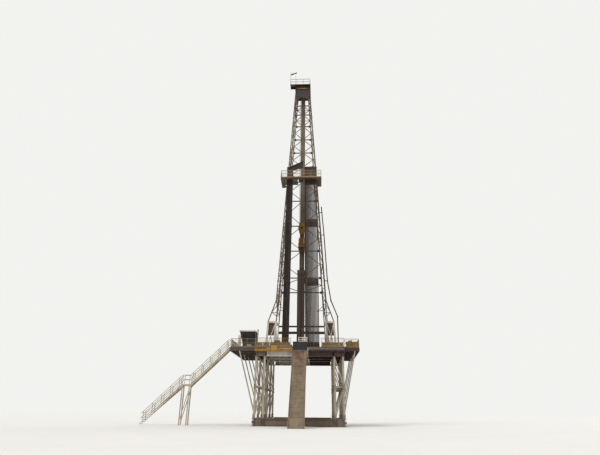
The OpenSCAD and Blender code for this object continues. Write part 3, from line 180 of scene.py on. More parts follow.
class Look:
    """A procedural material: one Principled shader and the nodes that lead to it."""

    def __init__(self, name, roughness=0.5, metallic=0.0):
        self.material = bpy.data.materials.new(name)
        self.material.use_nodes = True
        self.links = self.material.node_tree.links
        self.shader = self.material.node_tree.nodes["Principled BSDF"]
        self.shader.inputs["Roughness"].default_value = roughness
        self.shader.inputs["Metallic"].default_value = metallic
        self.place = self.node("TexCoord", {}).outputs["Object"]

    def node(self, kind, inputs, **settings):
        return add_node(self.material.node_tree, kind, inputs, **settings)

    def stretched(self, scale):
        return self.node("Mapping", {"Vector": self.place, "Scale": scale}).outputs["Vector"]

    def noise(self, scale, detail=5.0, stretch=(1, 1, 1)):
        inputs = {"Vector": self.stretched(stretch), "Scale": scale, "Detail": detail, "Roughness": 0.6}
        return self.node("TexNoise", inputs).outputs["Fac"]

    def bands(self, scale, axis, stretch=(1, 1, 1)):
        inputs = {"Vector": self.stretched(stretch), "Scale": scale}
        return self.node("TexWave", inputs, bands_direction=axis).outputs["Fac"]

    def ramp(self, value, low, high, top=1.0):
        """0 where value is under low, top where it is over high."""
        inputs = {"Value": value, "From Min": low, "From Max": high, "To Max": top}
        return self.node("MapRange", inputs).outputs["Result"]

    def mix(self, amount, below, above):
        """Colour below where amount is 0 and above where it is 1; each is a colour or a socket."""
        inputs = {"Factor": amount, "A": below, "B": above}
        return self.node("Mix", inputs, data_type="RGBA").outputs["Result"]

    def combine(self, operation, *values):
        """What a Math node makes of sockets or numbers."""
        return self.node("Math", dict(enumerate(values)), operation=operation).outputs[0]

    def along_axis(self, axis):
        """Place along one axis of the frame, in metres."""
        return self.node("SeparateXYZ", {"Vector": self.place}).outputs[axis]

    def color(self, socket):
        self.links.new(socket, self.shader.inputs["Base Color"])

    def rough(self, value, low, high):
        scaled = self.node("MapRange", {"Value": value, "To Min": low, "To Max": high})
        self.links.new(scaled.outputs["Result"], self.shader.inputs["Roughness"])

    def bump(self, height, distance):
        bump = self.node("Bump", {"Height": height, "Distance": distance, "Strength": 0.6})
        self.links.new(bump.outputs["Normal"], self.shader.inputs["Normal"])


MUD = (0.33, 0.27, 0.20)
RUST = (0.36, 0.19, 0.11)
GREASE = (0.10, 0.09, 0.08)
MAROON = (0.20, 0.085, 0.08)


def faded(color, factor):
    return tuple(min(1, c * factor) for c in color)


def paint(name, color, stain=MUD, stained=0.5, chipped=0.25, low=0.42, high=0.75):
    """Paint out in the weather: patches of fading, stains that ran down, and chips."""
    look = Look(name)
    patches = look.noise(5, 6)
    base = look.mix(look.ramp(patches, 0.35, 0.7), faded(color, 0.86), faded(color, 1.08))
    runs = look.noise(26, 6, (1, 1, 0.16))
    base = look.mix(look.ramp(runs, 0.52, 0.72, stained), base, stain)
    specks = look.noise(90, 8)
    base = look.mix(look.ramp(specks, 0.62, 0.68, chipped), base, RUST)
    look.color(base)
    look.rough(runs, low, high)
    look.bump(specks, 0.0006)
    return look.material


def steel(name, color, stained=0.4, metallic=0.75, low=0.3, high=0.65):
    """Bare or oily steel with rust and dust in patches."""
    look = Look(name, metallic=metallic)
    patches = look.noise(30, 7)
    base = look.mix(look.ramp(patches, 0.3, 0.7), faded(color, 0.75), faded(color, 1.15))
    spots = look.noise(69, 8, (1, 1, 0.35))
    base = look.mix(look.ramp(spots, 0.5, 0.7, stained), base, RUST)
    look.color(base)
    look.rough(patches, low, high)
    look.bump(spots, 0.0005)
    return look.material


def pipe_steel(name, dark, pale):
    """Racked pipe: each pipe a little different, streaked along its length."""
    look = Look(name, metallic=0.1)
    each = look.noise(62, 0, (1, 1, 0.004))
    base = look.mix(look.ramp(each, 0.38, 0.62), dark, pale)
    streaks = look.noise(120, 5, (1, 1, 0.05))
    base = look.mix(look.ramp(streaks, 0.5, 0.75, 0.55), base, RUST)
    mud = look.noise(14, 6, (1, 1, 0.4))
    base = look.mix(look.ramp(mud, 0.58, 0.75, 0.5), base, MUD)
    look.color(base)
    look.rough(streaks, 0.55, 0.85)
    look.bump(streaks, 0.0004)
    return look.material


def rope(name):
    """Wire rope: slanted bands of its strands under grease."""
    look = Look(name, metallic=0.6)
    strands = look.bands(90, "DIAGONAL", (1, 1, 0.6))
    patches = look.noise(20, 5)
    base = look.mix(look.ramp(strands, 0.2, 0.8), (0.24, 0.22, 0.19), (0.44, 0.40, 0.34))
    look.color(look.mix(look.ramp(patches, 0.5, 0.7, 0.6), base, GREASE))
    look.rough(patches, 0.35, 0.7)
    look.bump(strands, 0.0008)
    return look.material


def plate(name, color, stained):
    """Walked-on plate: raised pattern, mud and polished wear."""
    look = Look(name, metallic=0.2)
    bars_a, bars_b = look.bands(38, "X"), look.bands(38, "Y")
    tread = look.combine("MAXIMUM", look.ramp(bars_a, 0.8, 0.95), look.ramp(bars_b, 0.8, 0.95))
    patches = look.noise(7, 7)
    base = look.mix(look.ramp(patches, 0.3, 0.65), faded(color, 0.8), faded(color, 1.1))
    base = look.mix(look.ramp(look.noise(16, 8), 0.5, 0.72, stained), base, MUD)
    look.color(look.mix(look.ramp(tread, 0.4, 1.0, 0.25), base, faded(color, 1.5)))
    look.rough(patches, 0.4, 0.8)
    look.bump(tread, 0.001)
    return look.material


def ramp_paint(name):
    """Tan-grey paint with mud, and rust where pipe slides near the top."""
    look = Look(name)
    patches = look.noise(9, 7)
    base = look.mix(look.ramp(patches, 0.35, 0.7), (0.42, 0.36, 0.28), (0.54, 0.47, 0.37))
    middle = look.combine("COMPARE", look.along_axis("X"), WELL.x, 0.055)
    height = look.ramp(look.along_axis("Z"), FLOOR_TOP - 0.45, FLOOR_TOP - 0.1)
    scrapes = look.ramp(look.noise(22, 7, (1, 0.5, 0.5)), 0.3, 0.6)
    worn = look.combine("MULTIPLY", look.combine("MULTIPLY", middle, height), scrapes)
    base = look.mix(worn, base, (0.36, 0.22, 0.15))
    mud = look.noise(34, 8, (1, 0.6, 0.6))
    look.color(look.mix(look.ramp(mud, 0.5, 0.72, 0.6), base, MUD))
    look.rough(mud, 0.5, 0.85)
    look.bump(patches, 0.0008)
    return look.material


def sections(name, first, parts, stained=0.65):
    """Paint that changes along X: parts are (millimetres right of the well, colour) from there on."""
    look = Look(name)
    place = look.along_axis("X")
    base = first
    for x, color in parts:
        start = WELL.x + x / 1000
        base = look.mix(look.ramp(place, start, start + 0.001), base, color)
    stains = look.noise(20, 7, (1, 1, 0.3))
    base = look.mix(look.ramp(stains, 0.42, 0.7, stained), base, MUD)
    look.color(look.mix(look.ramp(look.noise(90, 8), 0.6, 0.68, 0.3), base, RUST))
    look.rough(stains, 0.45, 0.8)
    look.bump(stains, 0.0006)
    return look.material


def wood(name):
    look = Look(name, roughness=0.8)
    grain = look.noise(60, 8, (1, 0.06, 1))
    boards = look.bands(11, "X")
    base = look.mix(look.ramp(grain, 0.3, 0.7), (0.33, 0.24, 0.16), (0.50, 0.39, 0.27))
    look.color(look.mix(look.ramp(boards, 0.93, 1.0), base, GREASE))
    look.bump(grain, 0.001)
    return look.material


def cloth(name, color, stained=0.5):
    """Woven cloth: warp and weft in the bump, weather in the colour."""
    look = Look(name, roughness=0.9)
    weave = look.combine("MULTIPLY", look.bands(160, "X"), look.bands(160, "Z"))
    patches = look.noise(18, 6)
    base = look.mix(look.ramp(patches, 0.35, 0.65), faded(color, 0.8), faded(color, 1.15))
    look.color(look.mix(look.ramp(look.noise(50, 7), 0.55, 0.72, stained), base, MUD))
    look.shader.inputs["Sheen Weight"].default_value = 0.25
    look.bump(weave, 0.0006)
    return look.material


def glass(name, color):
    """Tinted window glass with a film of dust."""
    look = Look(name, roughness=0.08)
    dust = look.noise(22, 6)
    look.color(look.mix(look.ramp(dust, 0.45, 0.8, 0.35), color, (0.42, 0.38, 0.32)))
    look.rough(dust, 0.04, 0.3)
    look.shader.inputs["Transmission Weight"].default_value = 0.55
    look.shader.inputs["IOR"].default_value = 1.45
    return look.material


LOOKS = {
    "skid_paint": paint("skid_paint", (0.42, 0.36, 0.30), stained=0.7),
    "substructure_paint": paint("substructure_paint", (0.66, 0.62, 0.54), stained=0.55),
    "spreader_paint": paint("spreader_paint", (0.76, 0.73, 0.68)),
    "floor_plate": plate("floor_plate", (0.36, 0.33, 0.29), 0.7),
    "dark_steel": steel("dark_steel", (0.27, 0.25, 0.23)),
    "mat_wood": wood("mat_wood"),
    "edge_yellow": paint("edge_yellow", (0.66, 0.52, 0.20), stained=0.6),
    "ramp_paint": ramp_paint("ramp_paint"),
    "gate_paint": paint("gate_paint", (0.11, 0.11, 0.13), stained=0.3, chipped=0.15),
    "white_paint": paint("white_paint", (0.84, 0.79, 0.73), stained=0.4),
    "platform_paint": sections("underside_paint", (0.27, 0.22, 0.20), [(0, MAROON)], 0.35),
    "handrail_yellow": paint("handrail_yellow", (0.52, 0.42, 0.24), stained=0.5),
    "handrail_olive": paint("handrail_olive", (0.46, 0.41, 0.27), stained=0.5),
    "cabin_floor_plate": plate("cabin_floor_plate", (0.36, 0.35, 0.34), 0.3),
    "cabin_paint": paint("cabin_paint", (0.24, 0.22, 0.20), stained=0.4),
    "cabin_glass": glass("cabin_glass", (0.10, 0.13, 0.13)),
    "stair_paint": paint("stair_paint", (0.70, 0.65, 0.57), stained=0.6),
    "tread_steel": plate("tread_steel", (0.46, 0.43, 0.38), 0.5),
    "foot_white": paint("foot_white", (0.90, 0.86, 0.80), stained=0.35),
    "mast_brown": paint("mast_brown", (0.31, 0.23, 0.17), stained=0.4),
    "mast_grey": paint("mast_grey", (0.42, 0.36, 0.28), stained=0.55),
    "mast_maroon": paint("mast_maroon", (0.30, 0.14, 0.12), stained=0.35),
    "crown_dark": paint("crown_dark", (0.12, 0.075, 0.065), stained=0.3, chipped=0.2),
    "crown_rail": paint("crown_rail", (0.55, 0.49, 0.43), stained=0.4),
    "flag_cloth": cloth("flag_cloth", (0.24, 0.12, 0.10)),
    "board_paint": paint("board_paint", (0.31, 0.25, 0.18), stained=0.4),
    "board_rail": paint("board_rail", (0.64, 0.52, 0.40), stained=0.4),
    "dark_paint": paint("dark_paint", (0.20, 0.18, 0.16), stained=0.5),
    "wind_cloth": cloth("wind_cloth", (0.15, 0.13, 0.12)),
    "pipe_dark": pipe_steel("pipe_dark", (0.11, 0.09, 0.08), (0.21, 0.17, 0.14)),
    "pipe_grey": pipe_steel("pipe_grey", (0.17, 0.145, 0.12), (0.28, 0.235, 0.195)),
    "rail_steel": paint("rail_steel", (0.47, 0.42, 0.33), stained=0.4),
    "wire_rope": rope("wire_rope"),
    "block_yellow": paint("block_yellow", (0.60, 0.42, 0.11), stain=GREASE, stained=0.6),
    "drive_yellow": paint("drive_yellow", (0.56, 0.41, 0.14), stain=GREASE, stained=0.4),
    "forged_steel": steel("forged_steel", (0.24, 0.21, 0.18)),
    "machine_olive": paint("machine_olive", (0.44, 0.42, 0.27), stain=GREASE, stained=0.5),
}
BRIGHT = steel("bright_steel", (0.72, 0.70, 0.66), stained=0.15, metallic=0.9, low=0.2, high=0.4)
RUBBER = paint("rubber", (0.07, 0.07, 0.07), stained=0.3, chipped=0.0, low=0.6, high=0.85)
BORE = paint("bore_shadow", (0.05, 0.045, 0.04), stained=0.2, chipped=0.0)
SEAT = cloth("seat_cloth", (0.16, 0.16, 0.18), 0.2)
LAMP = glass("lamp_glass", (0.92, 0.90, 0.82))

SLOT_OF = {part["node"]: part["material_slot"] for part in frame["record"]["subparts"]}
NODE_LOOKS = {
    "edge_beams": sections("edge_paint", (0.63, 0.43, 0.14), [
        (0, (0.72, 0.67, 0.59)), (MAROON_X, MAROON)], 0.6),
    "floor_boxes": sections("box_paint", (0.37, 0.31, 0.25), [(0, MAROON)], 0.4),
    "floor_spreaders": sections("beam_paint", (0.76, 0.73, 0.68), [(MAROON_X, MAROON)], 0.45),
    "stair_handrails": paint("stair_rail_paint", (0.60, 0.51, 0.31), stained=0.45),
    "crown_frame": paint("crown_olive", (0.23, 0.20, 0.13), stained=0.4),
    "diving_board": paint("diving_paint", (0.17, 0.14, 0.12), stained=0.4),
}
for node, node_object in frame["nodes"].items():
    node_object.data.materials.clear()
    node_object.data.materials.append(NODE_LOOKS.get(node) or LOOKS[SLOT_OF[node]])

# Mesh code


def add_piece(name, bm, material, smooth):
    """A piece in the scene from a mesh in millimetres about the well."""
    bm.transform(TO_FRAME)
    mesh = bpy.data.meshes.new(name)
    bm.to_mesh(mesh)
    bm.free()
    mesh.materials.append(material)
    for face in mesh.polygons:
        face.use_smooth = smooth
    piece = bpy.data.objects.new(name, mesh)
    bpy.context.scene.collection.objects.link(piece)
    return piece


def circle(diameter, sides):
    """Points of a circle about the origin."""
    return [(diameter / 2 * math.cos(a), diameter / 2 * math.sin(a))
            for a in (2 * math.pi * i / sides for i in range(sides))]


def corners(half):
    """The corners of a square about the origin."""
    return [(first, second) for first in (-half, half) for second in (-half, half)]


def share_of(ends, share):
    """The value at a share of the way from the first end to the second."""
    return ends[0] + (ends[1] - ends[0]) * share


class Shape:
    """One piece, built up from bars, plates, rods and rings, in millimetres about the well."""

    def __init__(self):
        self.bm = bmesh.new()

    def loft(self, rings, closed=True):
        """Skin over rings of points, with a cap on each end."""
        rows = [[self.bm.verts.new(point) for point in ring] for ring in rings]
        count = len(rows[0])
        for low, high in zip(rows, rows[1:]):
            for i in range(count):
                j = (i + 1) % count
                self.bm.faces.new((low[i], low[j], high[j], high[i]))
        if closed:
            self.bm.faces.new(rows[0][::-1])
            self.bm.faces.new(rows[-1])
        return self

    def box(self, low, high):
        (x0, y0, z0), (x1, y1, z1) = low, high
        outline = ((x0, y0), (x1, y0), (x1, y1), (x0, y1))
        return self.loft([[(x, y, z) for x, y in outline] for z in (z0, z1)])

    def between(self, start, end, outlines):
        """Outlines across the line from start to end, each (share along it, points)."""
        start, end = Vector(start), Vector(end)
        turn = (end - start).to_track_quat("Z", "Y")
        return self.loft([
            [start.lerp(end, share) + turn @ Vector((x, y, 0)) for x, y in points]
            for share, points in outlines])

    def bar(self, start, end, wide, deep):
        x, y = wide / 2, deep / 2
        outline = [(-x, -y), (x, -y), (x, y), (-x, y)]
        return self.between(start, end, [(0, outline), (1, outline)])

    def rod(self, start, end, diameter, sides=8, end_diameter=None):
        return self.between(start, end, [
            (0, circle(diameter, sides)), (1, circle(end_diameter or diameter, sides))])

    def ring(self, centre, axis, radius, thick, sides=24, tube=6, start=0.0, turn=2 * math.pi):
        """Round bar bent about an axis, a whole circle or an arc of it."""
        turned = Vector(axis).to_track_quat("Z", "X")
        whole = turn >= 2 * math.pi
        rows = []
        for i in range(sides + (0 if whole else 1)):
            a = start + turn * i / sides
            out = Vector((math.cos(a), math.sin(a), 0))
            rows.append([Vector(centre) + turned @ (
                out * (radius + thick / 2 * math.cos(b)) + Vector((0, 0, thick / 2 * math.sin(b))))
                for b in (2 * math.pi * j / tube for j in range(tube))])
        if whole:
            rows.append(rows[0])
        return self.loft(rows, closed=not whole)

    def bolts(self, points, axis, diameter=4, height=2):
        for point in points:
            self.rod(point, Vector(point) + Vector(axis) * height, diameter, 6)
        return self

    def finish(self, name, look, body="rig", slot=None, smooth=False, bevel=0.0):
        """Add the piece with a material or the name of one; it rides on body unless that is None."""
        bmesh.ops.remove_doubles(self.bm, verts=self.bm.verts, dist=0.001)
        bmesh.ops.recalc_face_normals(self.bm, faces=self.bm.faces)
        material = look if isinstance(look, bpy.types.Material) else LOOKS[look]
        piece = add_piece(name, self.bm, material, smooth)
        if bevel:
            modifier = piece.modifiers.new("edges", "BEVEL")
            modifier.width = bevel / 1000
            modifier.segments = 2
        if body:
            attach(piece, body)
        return piece


# Substructure

GROUND = -FLOOR_H
MID_Z = GROUND + (SKID_H + FLOOR_H - DECK_T - BOX_H) / 2

gussets = Shape()
for side in (-1, 1):
    for plane in (-1, 1):
        x = side * SIDE_X + plane * PLANE_OFF
        for i in range(COLUMN_N):
            y = column_y(i)
            for face in (-1, 1):
                near = x + face * (COLUMN_S / 2 + 0.2)
                far = near + face * 2
                for low, high in ((MID_Z - 34, MID_Z + 34), (GROUND + SKID_H + 1, GROUND + SKID_H + 44)):
                    gussets.box((min(near, far), y - 27, low), (max(near, far), y + 27, high))
                    gussets.bolts([(far, y + dy, z) for dy in (-18, 0, 18) for z in (low + 9, high - 9)],
                                  (face, 0, 0), 5, 2.5)
gussets.finish("frame_gussets", "substructure_paint")

skid_ends = Shape()
for side in (-1, 1):
    for plane in (-1, 1):
        x = side * SIDE_X + plane * PLANE_OFF
        for y, out in ((-FLOOR_FRONT, -1), (FLOOR_BACK, 1)):
            inside, middle = y - out * 30, GROUND + SKID_H / 2
            skid_ends.rod((x - 24, inside, middle), (x + 24, inside, middle), 20, 16)
            for dx in (-14, 14):
                skid_ends.box((x + dx - 2, min(inside, y - out), GROUND + 10),
                              (x + dx + 2, max(inside, y - out), GROUND + SKID_H - 8))
skid_ends.finish("skid_lifting_pins", "skid_paint")

# Drill floor

seams = Shape()
SEAM_LOW, SEAM_HIGH = 0.1, 0.9
for x in range(-480, 481, 160):
    for y0, y1 in ((-FLOOR_FRONT + 2, -380), (200, 360), (600, FLOOR_BACK - 12)):
        seams.box((x - 1, y0, SEAM_LOW), (x + 1, y1, SEAM_HIGH))
for y in (205, 360, 600, 700):
    seams.box((-FLOOR_X + 2, y - 1, SEAM_LOW), (FLOOR_X - 2, y + 1, SEAM_HIGH))
seams.finish("floor_seams", "floor_plate")

rotary = Shape()
TABLE_TOP = 5
for radius, thick in ((60, 3), (50, 2.4)):
    rotary.ring((0, 0, TABLE_TOP + 0.2), (0, 0, 1), radius, thick, 40)
rotary.bolts([(x, y, TABLE_TOP) for x, y in circle(172, 24)], (0, 0, 1), 5, 2.4)
for i in range(4):
    a = math.pi / 4 + math.pi / 2 * i
    x, y = 70 * math.cos(a), 70 * math.sin(a)
    rotary.rod((x, y, TABLE_TOP), (x, y, TABLE_TOP + 4), 12, 12)
rotary.finish("rotary_details", "dark_steel")

edge = Shape()
for x0, x1 in ((-FLOOR_X, GATE_X0 - 4), (GATE_X1 + 4, FLOOR_X)):
    for z, end in ((EDGE_HIGH - 4, min(x1 - 1, MAROON_X)), (EDGE_LOW + 1, x1 - 1)):
        edge.box((x0 + 1, RIB_FACE, z), (end, BEAM_FACE, z + 3))
    for i in range(6):
        x = x0 + (x1 - x0) * (i + 0.5) / 6
        edge.box((x - 2, RIB_FACE, EDGE_LOW + 2), (x + 2, BEAM_FACE, EDGE_HIGH - 2))
edge.finish("edge_beam_ribs", NODE_LOOKS["edge_beams"], slot="edge_yellow")

strip = Shape()
strip.box((MAROON_X, RIB_FACE - 0.6, EDGE_HIGH - 5), (FLOOR_X - 1, BEAM_FACE, EDGE_HIGH - 1))
strip.bolts([(MAROON_X + 12 + 30 * i, RIB_FACE - 0.6, EDGE_HIGH - 3) for i in range(13)],
            (0, -1, 0), 2.6, 1.4)
strip.finish("edge_top_strip", "spreader_paint")

box_x = -FLOOR_X + 238
edge_box = Shape()
edge_box.box((box_x - 34, -FLOOR_FRONT - 20, -50), (box_x + 46, RIB_FACE - 0.2, 10))
edge_box.box((box_x - 36, -FLOOR_FRONT - 21, 10), (box_x + 48, -FLOOR_FRONT - 14, 14))
edge_box.bolts([(box_x - 24 + 20 * i, -FLOOR_FRONT - 20, z) for i in range(4) for z in (-42, 2)], (0, -1, 0))
edge_box.finish("edge_box", "edge_yellow")

gate = Shape()
gate_y = -FLOOR_FRONT - 8.3
for i in range(8):
    x = GATE_X0 + 2 + (GATE_X1 - GATE_X0 - 8) * i / 7
    gate.box((x, gate_y - 2.4, GATE_LOW + 4), (x + 4, gate_y, GATE_HIGH - 4))
for z in (GATE_LOW + 1, 8, GATE_HIGH - 6):
    gate.box((GATE_X0 + 1, gate_y - 2.4, z), (GATE_X1 - 1, gate_y, z + 5))
gate.finish("gate_ribs", "gate_paint")

wear = Shape()
WELD_HALF = Vector((78, 0, 0))
slope = math.radians(RAMP_ANGLE)
top = Vector((0, -FLOOR_FRONT, RAMP_TOP))
along = Vector((0, -math.cos(slope), -math.sin(slope)))
out = Vector((0, -math.sin(slope), math.cos(slope)))
length = (FLOOR_H + RAMP_TOP) / math.sin(slope)
for i in range(9):
    start = top + along * (18 + i * (length - 40) / 9) + out * 0.9
    wear.bar(start - WELD_HALF, start + WELD_HALF, 3, 1.6)
wear.finish("ramp_cross_welds", "ramp_paint")

# Handrails


UP = Vector((0, 0, 1))
WIRE_D, WIRE_STEP, WIRE_ROWS = 1.1, 10, 6


def mesh_panel(shape, start, end, low=18, high=104):
    """Wire mesh between the rails of a straight handrail, in a plane through its line."""
    start, end = Vector((*start, 0)), Vector((*end, 0))
    count = max(2, round((end - start).length / WIRE_STEP))
    for i in range(1, count):
        point = start.lerp(end, i / count)
        shape.bar(point + UP * low, point + UP * high, WIRE_D, WIRE_D)
    for i in range(1, WIRE_ROWS):
        lift = UP * (low + (high - low) * i / WIRE_ROWS)
        shape.bar(start + lift, end + lift, WIRE_D, WIRE_D)


left_x = -FLOOR_X - LEFT_W + RAIL_D
right_x = FLOOR_X + RIGHT_W - RAIL_D
front_y, back_y = PLATFORM_Y0 + RAIL_D, FLOOR_BACK - RAIL_D
stair_y1 = PLATFORM_Y0 + STAIR_W + 10
platform_mesh = Shape()
for start, end in (
    ((left_x, stair_y1 + RAIL_D), (left_x, back_y - 2 * RAIL_D)),
    ((left_x, back_y), (-FLOOR_X - 2 * RAIL_D, back_y)),
    ((left_x + RAIL_D, front_y), (-FLOOR_X - RAIL_D, front_y)),
    ((right_x, front_y + 2 * RAIL_D), (right_x, back_y - 2 * RAIL_D)),
    ((FLOOR_X + RAIL_D, front_y), (right_x, front_y)),
    ((FLOOR_X + 2 * RAIL_D, back_y), (right_x, back_y)),
):
    mesh_panel(platform_mesh, start, end)
platform_mesh.finish("platform_rail_mesh", "handrail_olive")

floor_mesh = Shape()
rail_x, rail_y = FLOOR_X - RAIL_D, -FLOOR_FRONT + RAIL_D
for x0, x1, y in (
    (-rail_x, GATE_X0 - 26, rail_y), (FLOOR_X - 288, rail_x, rail_y), (-rail_x, rail_x, back_y),
):
    mesh_panel(floor_mesh, (x0, y), (x1, y))
floor_mesh.finish("floor_rail_mesh", "handrail_yellow")

kick = Shape()
KICK_BAYS, KICK_Y, KICK_TOP = 5, -FLOOR_FRONT + 8.2, 50
for x0, x1 in ((-FLOOR_X + 12, GATE_X0 - 32), (FLOOR_X - 284, FLOOR_X - 12)):
    for i in range(KICK_BAYS):
        a, b = (x0 + (x1 - x0) * (i + share) / KICK_BAYS for share in (0.03, 0.97))
        kick.box((a, KICK_Y, 9), (b, KICK_Y + 1.4, KICK_TOP))
        kick.box((a, KICK_Y - 0.8, KICK_TOP - 4), (b, KICK_Y, KICK_TOP))
        kick.bolts([(x, KICK_Y, z) for x in (a + 4, b - 4) for z in (14, 42)], (0, -1, 0), 3, 1)
kick.finish("floor_kick_panels", "handrail_yellow")

board_mesh = Shape()
BOARD_RIGHT = BOARD_HALF - 10
board_x0, board_x1 = RAIL_D - BOARD_HALF, BOARD_RIGHT - RAIL_D
mesh_panel(board_mesh, (board_x0, BOARD_FRONT + RAIL_D), (board_x1, BOARD_FRONT + RAIL_D), low=6)
for x, y1 in ((board_x0, -55), (board_x1, -87)):
    mesh_panel(board_mesh, (x, BOARD_FRONT + 3 * RAIL_D), (x, y1), low=6)
board_mesh.bm.transform(Matrix.Translation(UP * BOARD_Z))
board_mesh.finish("board_rail_mesh", "board_rail")

# Stair

stair_x0 = -FLOOR_X - LEFT_W
tread_y0, tread_y1 = PLATFORM_Y0 + RAIL_D, PLATFORM_Y0 + RAIL_D + STAIR_W
nosing = Shape()
for first_x, first_z, count in (
    (stair_x0, 0, RISERS_UP),
    (stair_x0 - RISERS_UP * GOING - LANDING_L, -RISERS_UP * RISE, RISERS_LOW),
):
    for i in range(1, count):
        x, z = first_x - i * GOING, first_z - i * RISE
        nosing.box((x - 11.5, tread_y0 + 1, z - 4), (x - 10.2, tread_y1 - 1, z + 0.6))
        nosing.bolts([(x + dx, y, z) for dx in (-6, 6) for y in (tread_y0 + 5, tread_y1 - 5)],
                     (0, 0, 1), 3, 1)
nosing.finish("tread_nosings", "handrail_olive")

# Mast

plates = Shape()
for z in GIRTS:
    for side in (-1, 1):
        x = side * (inner_x(z) - 10)
        for face, y in ((-1, MAST_BACK - 8.4), (1, MAST_BACK + 6.8)):
            plates.box((x - 17, y, z - 17), (x + 17, y + 1.6, z + 17))
            lift = y if face < 0 else y + 1.6
            plates.bolts([(x + dx, lift, z + dz) for dx, dz in corners(11)], (0, face, 0), 3.4, 1.6)
    plates.box((-15, MAST_BACK - 8.4, z - 15), (15, MAST_BACK - 6.8, z + 15))
plates.finish("girt_plates", "mast_brown")

splices = Shape()
for z in (SECTION_Z, TOP_Z):
    for side in (-1, 1):
        for x in (inner_x(z), outer_x(z)):
            for y in (MAST_FRONT, MAST_BACK):
                for low, high in ((z - 6, z - 0.6), (z + 0.6, z + 6)):
                    splices.box((side * x - 11, y - 11, low), (side * x + 11, y + 11, high))
                splices.bolts([(side * x + dx, y + dy, z + 6) for dx, dy in corners(8.6)], (0, 0, 1), 3, 2)
splices.finish("mast_splices", "mast_grey")

feet = Shape()
for side in (-1, 1):
    near = inner_x(0) + FOOT_SHIFT
    for y, x0, x1 in ((MAST_FRONT, near, near + FOOT_W - CHORD), (MAST_BACK, inner_x(0), outer_x(0))):
        for x in (x0, x1):
            feet.rod((side * x, y - 13, 24), (side * x, y + 13, 24), 11, 14)
            feet.bolts([(side * x + dx, y + dy, 10) for dx, dy in corners(11)], (0, 0, 1), 4, 3)
    near = inner_x(FOOT_H) + FOOT_SHIFT
    for x in (near, near + FOOT_W - CHORD, inner_x(FOOT_H), outer_x(FOOT_H)):
        y = MAST_FRONT if x in (near, near + FOOT_W - CHORD) else MAST_BACK
        feet.rod((side * x, y - 13, FOOT_H - 10), (side * x, y + 13, FOOT_H - 10), 9, 14)
feet.finish("foot_pins", BRIGHT, slot="dark_steel")

# Painted shade: dark panels fill the upper part of each foot frame, standing for the dark seen through it.
foot_shade_panels = Shape()
low, high = FOOT_H - 190, FOOT_H - 25
for side in (-1, 1):
    x0 = [side * (inner_x(z) + FOOT_SHIFT + 12.4) for z in (low, high)]
    x1 = [side * (inner_x(z) + FOOT_SHIFT + FOOT_W - CHORD - 12.4) for z in (low, high)]
    y = MAST_FRONT + 4.6
    foot_shade_panels.loft([
        [(x0[0], y, low), (x1[0], y, low), (x1[0], y + 2, low), (x0[0], y + 2, low)],
        [(x0[1], y, high), (x1[1], y, high), (x1[1], y + 2, high), (x0[1], y + 2, high)],
    ])
foot_shade_panels.finish("foot_shade_panels", "mast_brown")

leg_lamp = Shape()
lamp_z = 1122
lamp_x = -(inner_x(lamp_z) + outer_x(lamp_z)) / 2 + 2
for z in (lamp_z - 6, lamp_z + 8):
    leg_lamp.bar((-outer_x(z), MAST_FRONT - 8, z), (-inner_x(z), MAST_FRONT - 8, z), 3, 3)
leg_lamp.box((lamp_x - 13, MAST_FRONT - 20, lamp_z - 11), (lamp_x + 13, MAST_FRONT - 9.6, lamp_z + 12))
leg_lamp.box((lamp_x - 15, MAST_FRONT - 21, lamp_z + 12), (lamp_x + 15, MAST_FRONT - 9, lamp_z + 14))
leg_lamp.finish("leg_lamp", "white_paint", bevel=1)

ladder = Shape()
LADDER_HALF, RUNG_STEP = Vector((17, 0, 0)), 30
# Heights where it is tied to the leg, besides the girts
LADDER_TIES = [120, 420, 620, 3930, 4180]


def ladder_at(z):
    """The ladder runs up the back of the left leg."""
    return Vector((-(inner_x(z) + outer_x(z)) / 2, MAST_BACK + 20, z))


for side in (-LADDER_HALF, LADDER_HALF):
    ladder.bar(ladder_at(4) + side, ladder_at(MAST_H) + side, 4, 4)
for i in range(int(MAST_H / RUNG_STEP)):
    centre = ladder_at(14 + i * RUNG_STEP)
    ladder.bar(centre - LADDER_HALF, centre + LADDER_HALF, 2.2, 2.2)
for z in GIRTS + LADDER_TIES:
    for side in (-LADDER_HALF, LADDER_HALF):
        centre = ladder_at(z) + side
        ladder.bar(centre, centre - Vector((0, 13.2, 0)), 4, 4)
ladder.finish("mast_ladder", "mast_grey")

# Crown

guard = Shape()
for y in (-GUARD_Y, GUARD_Y):
    guard.ring((0, y, SHEAVE_Z), (0, 1, 0), GUARD_R, 3, 20, 6, 0, math.pi)
for angle in (0.5, 1.0, 1.57, 2.14, 2.64):
    x, z = GUARD_R * math.cos(angle), SHEAVE_Z + GUARD_R * math.sin(angle)
    guard.rod((x, -GUARD_Y - 1, z), (x, GUARD_Y + 1, z), 2.4, 6)
guard.finish("sheave_guard", "crown_rail")

crown_bolts = Shape()
for y, out_y in ((MAST_FRONT - 9, -1), (MAST_BACK + 9, 1)):
    inside = y - out_y * 5
    for i in range(9):
        x = -120 + 30 * i
        crown_bolts.box((x - 1.5, min(y, inside), MAST_H + 6), (x + 1.5, max(y, inside), MAST_H + 60))
        crown_bolts.bolts([(x + 9, y, MAST_H + 3)], (0, out_y, 0), 4, 2)
crown_bolts.finish("crown_stiffeners", "crown_dark")

crown_strip = Shape()
STRIP_X0, STRIP_X1, STRIP_Y = -75, 65, MAST_FRONT - 11
crown_strip.box((STRIP_X0, STRIP_Y, MAST_H + 12), (STRIP_X1, STRIP_Y + 2, MAST_H + 24))
crown_strip.bolts([(STRIP_X0 + 8 + 25 * i, STRIP_Y, MAST_H + 18) for i in range(6)], (0, -1, 0), 3, 1.4)
crown_strip.finish("crown_front_strip", "edge_yellow")


def plate_half(z):
    """Half width between the legs, where the crown's plates fit."""
    return inner_x(z) - CHORD / 2 - 1


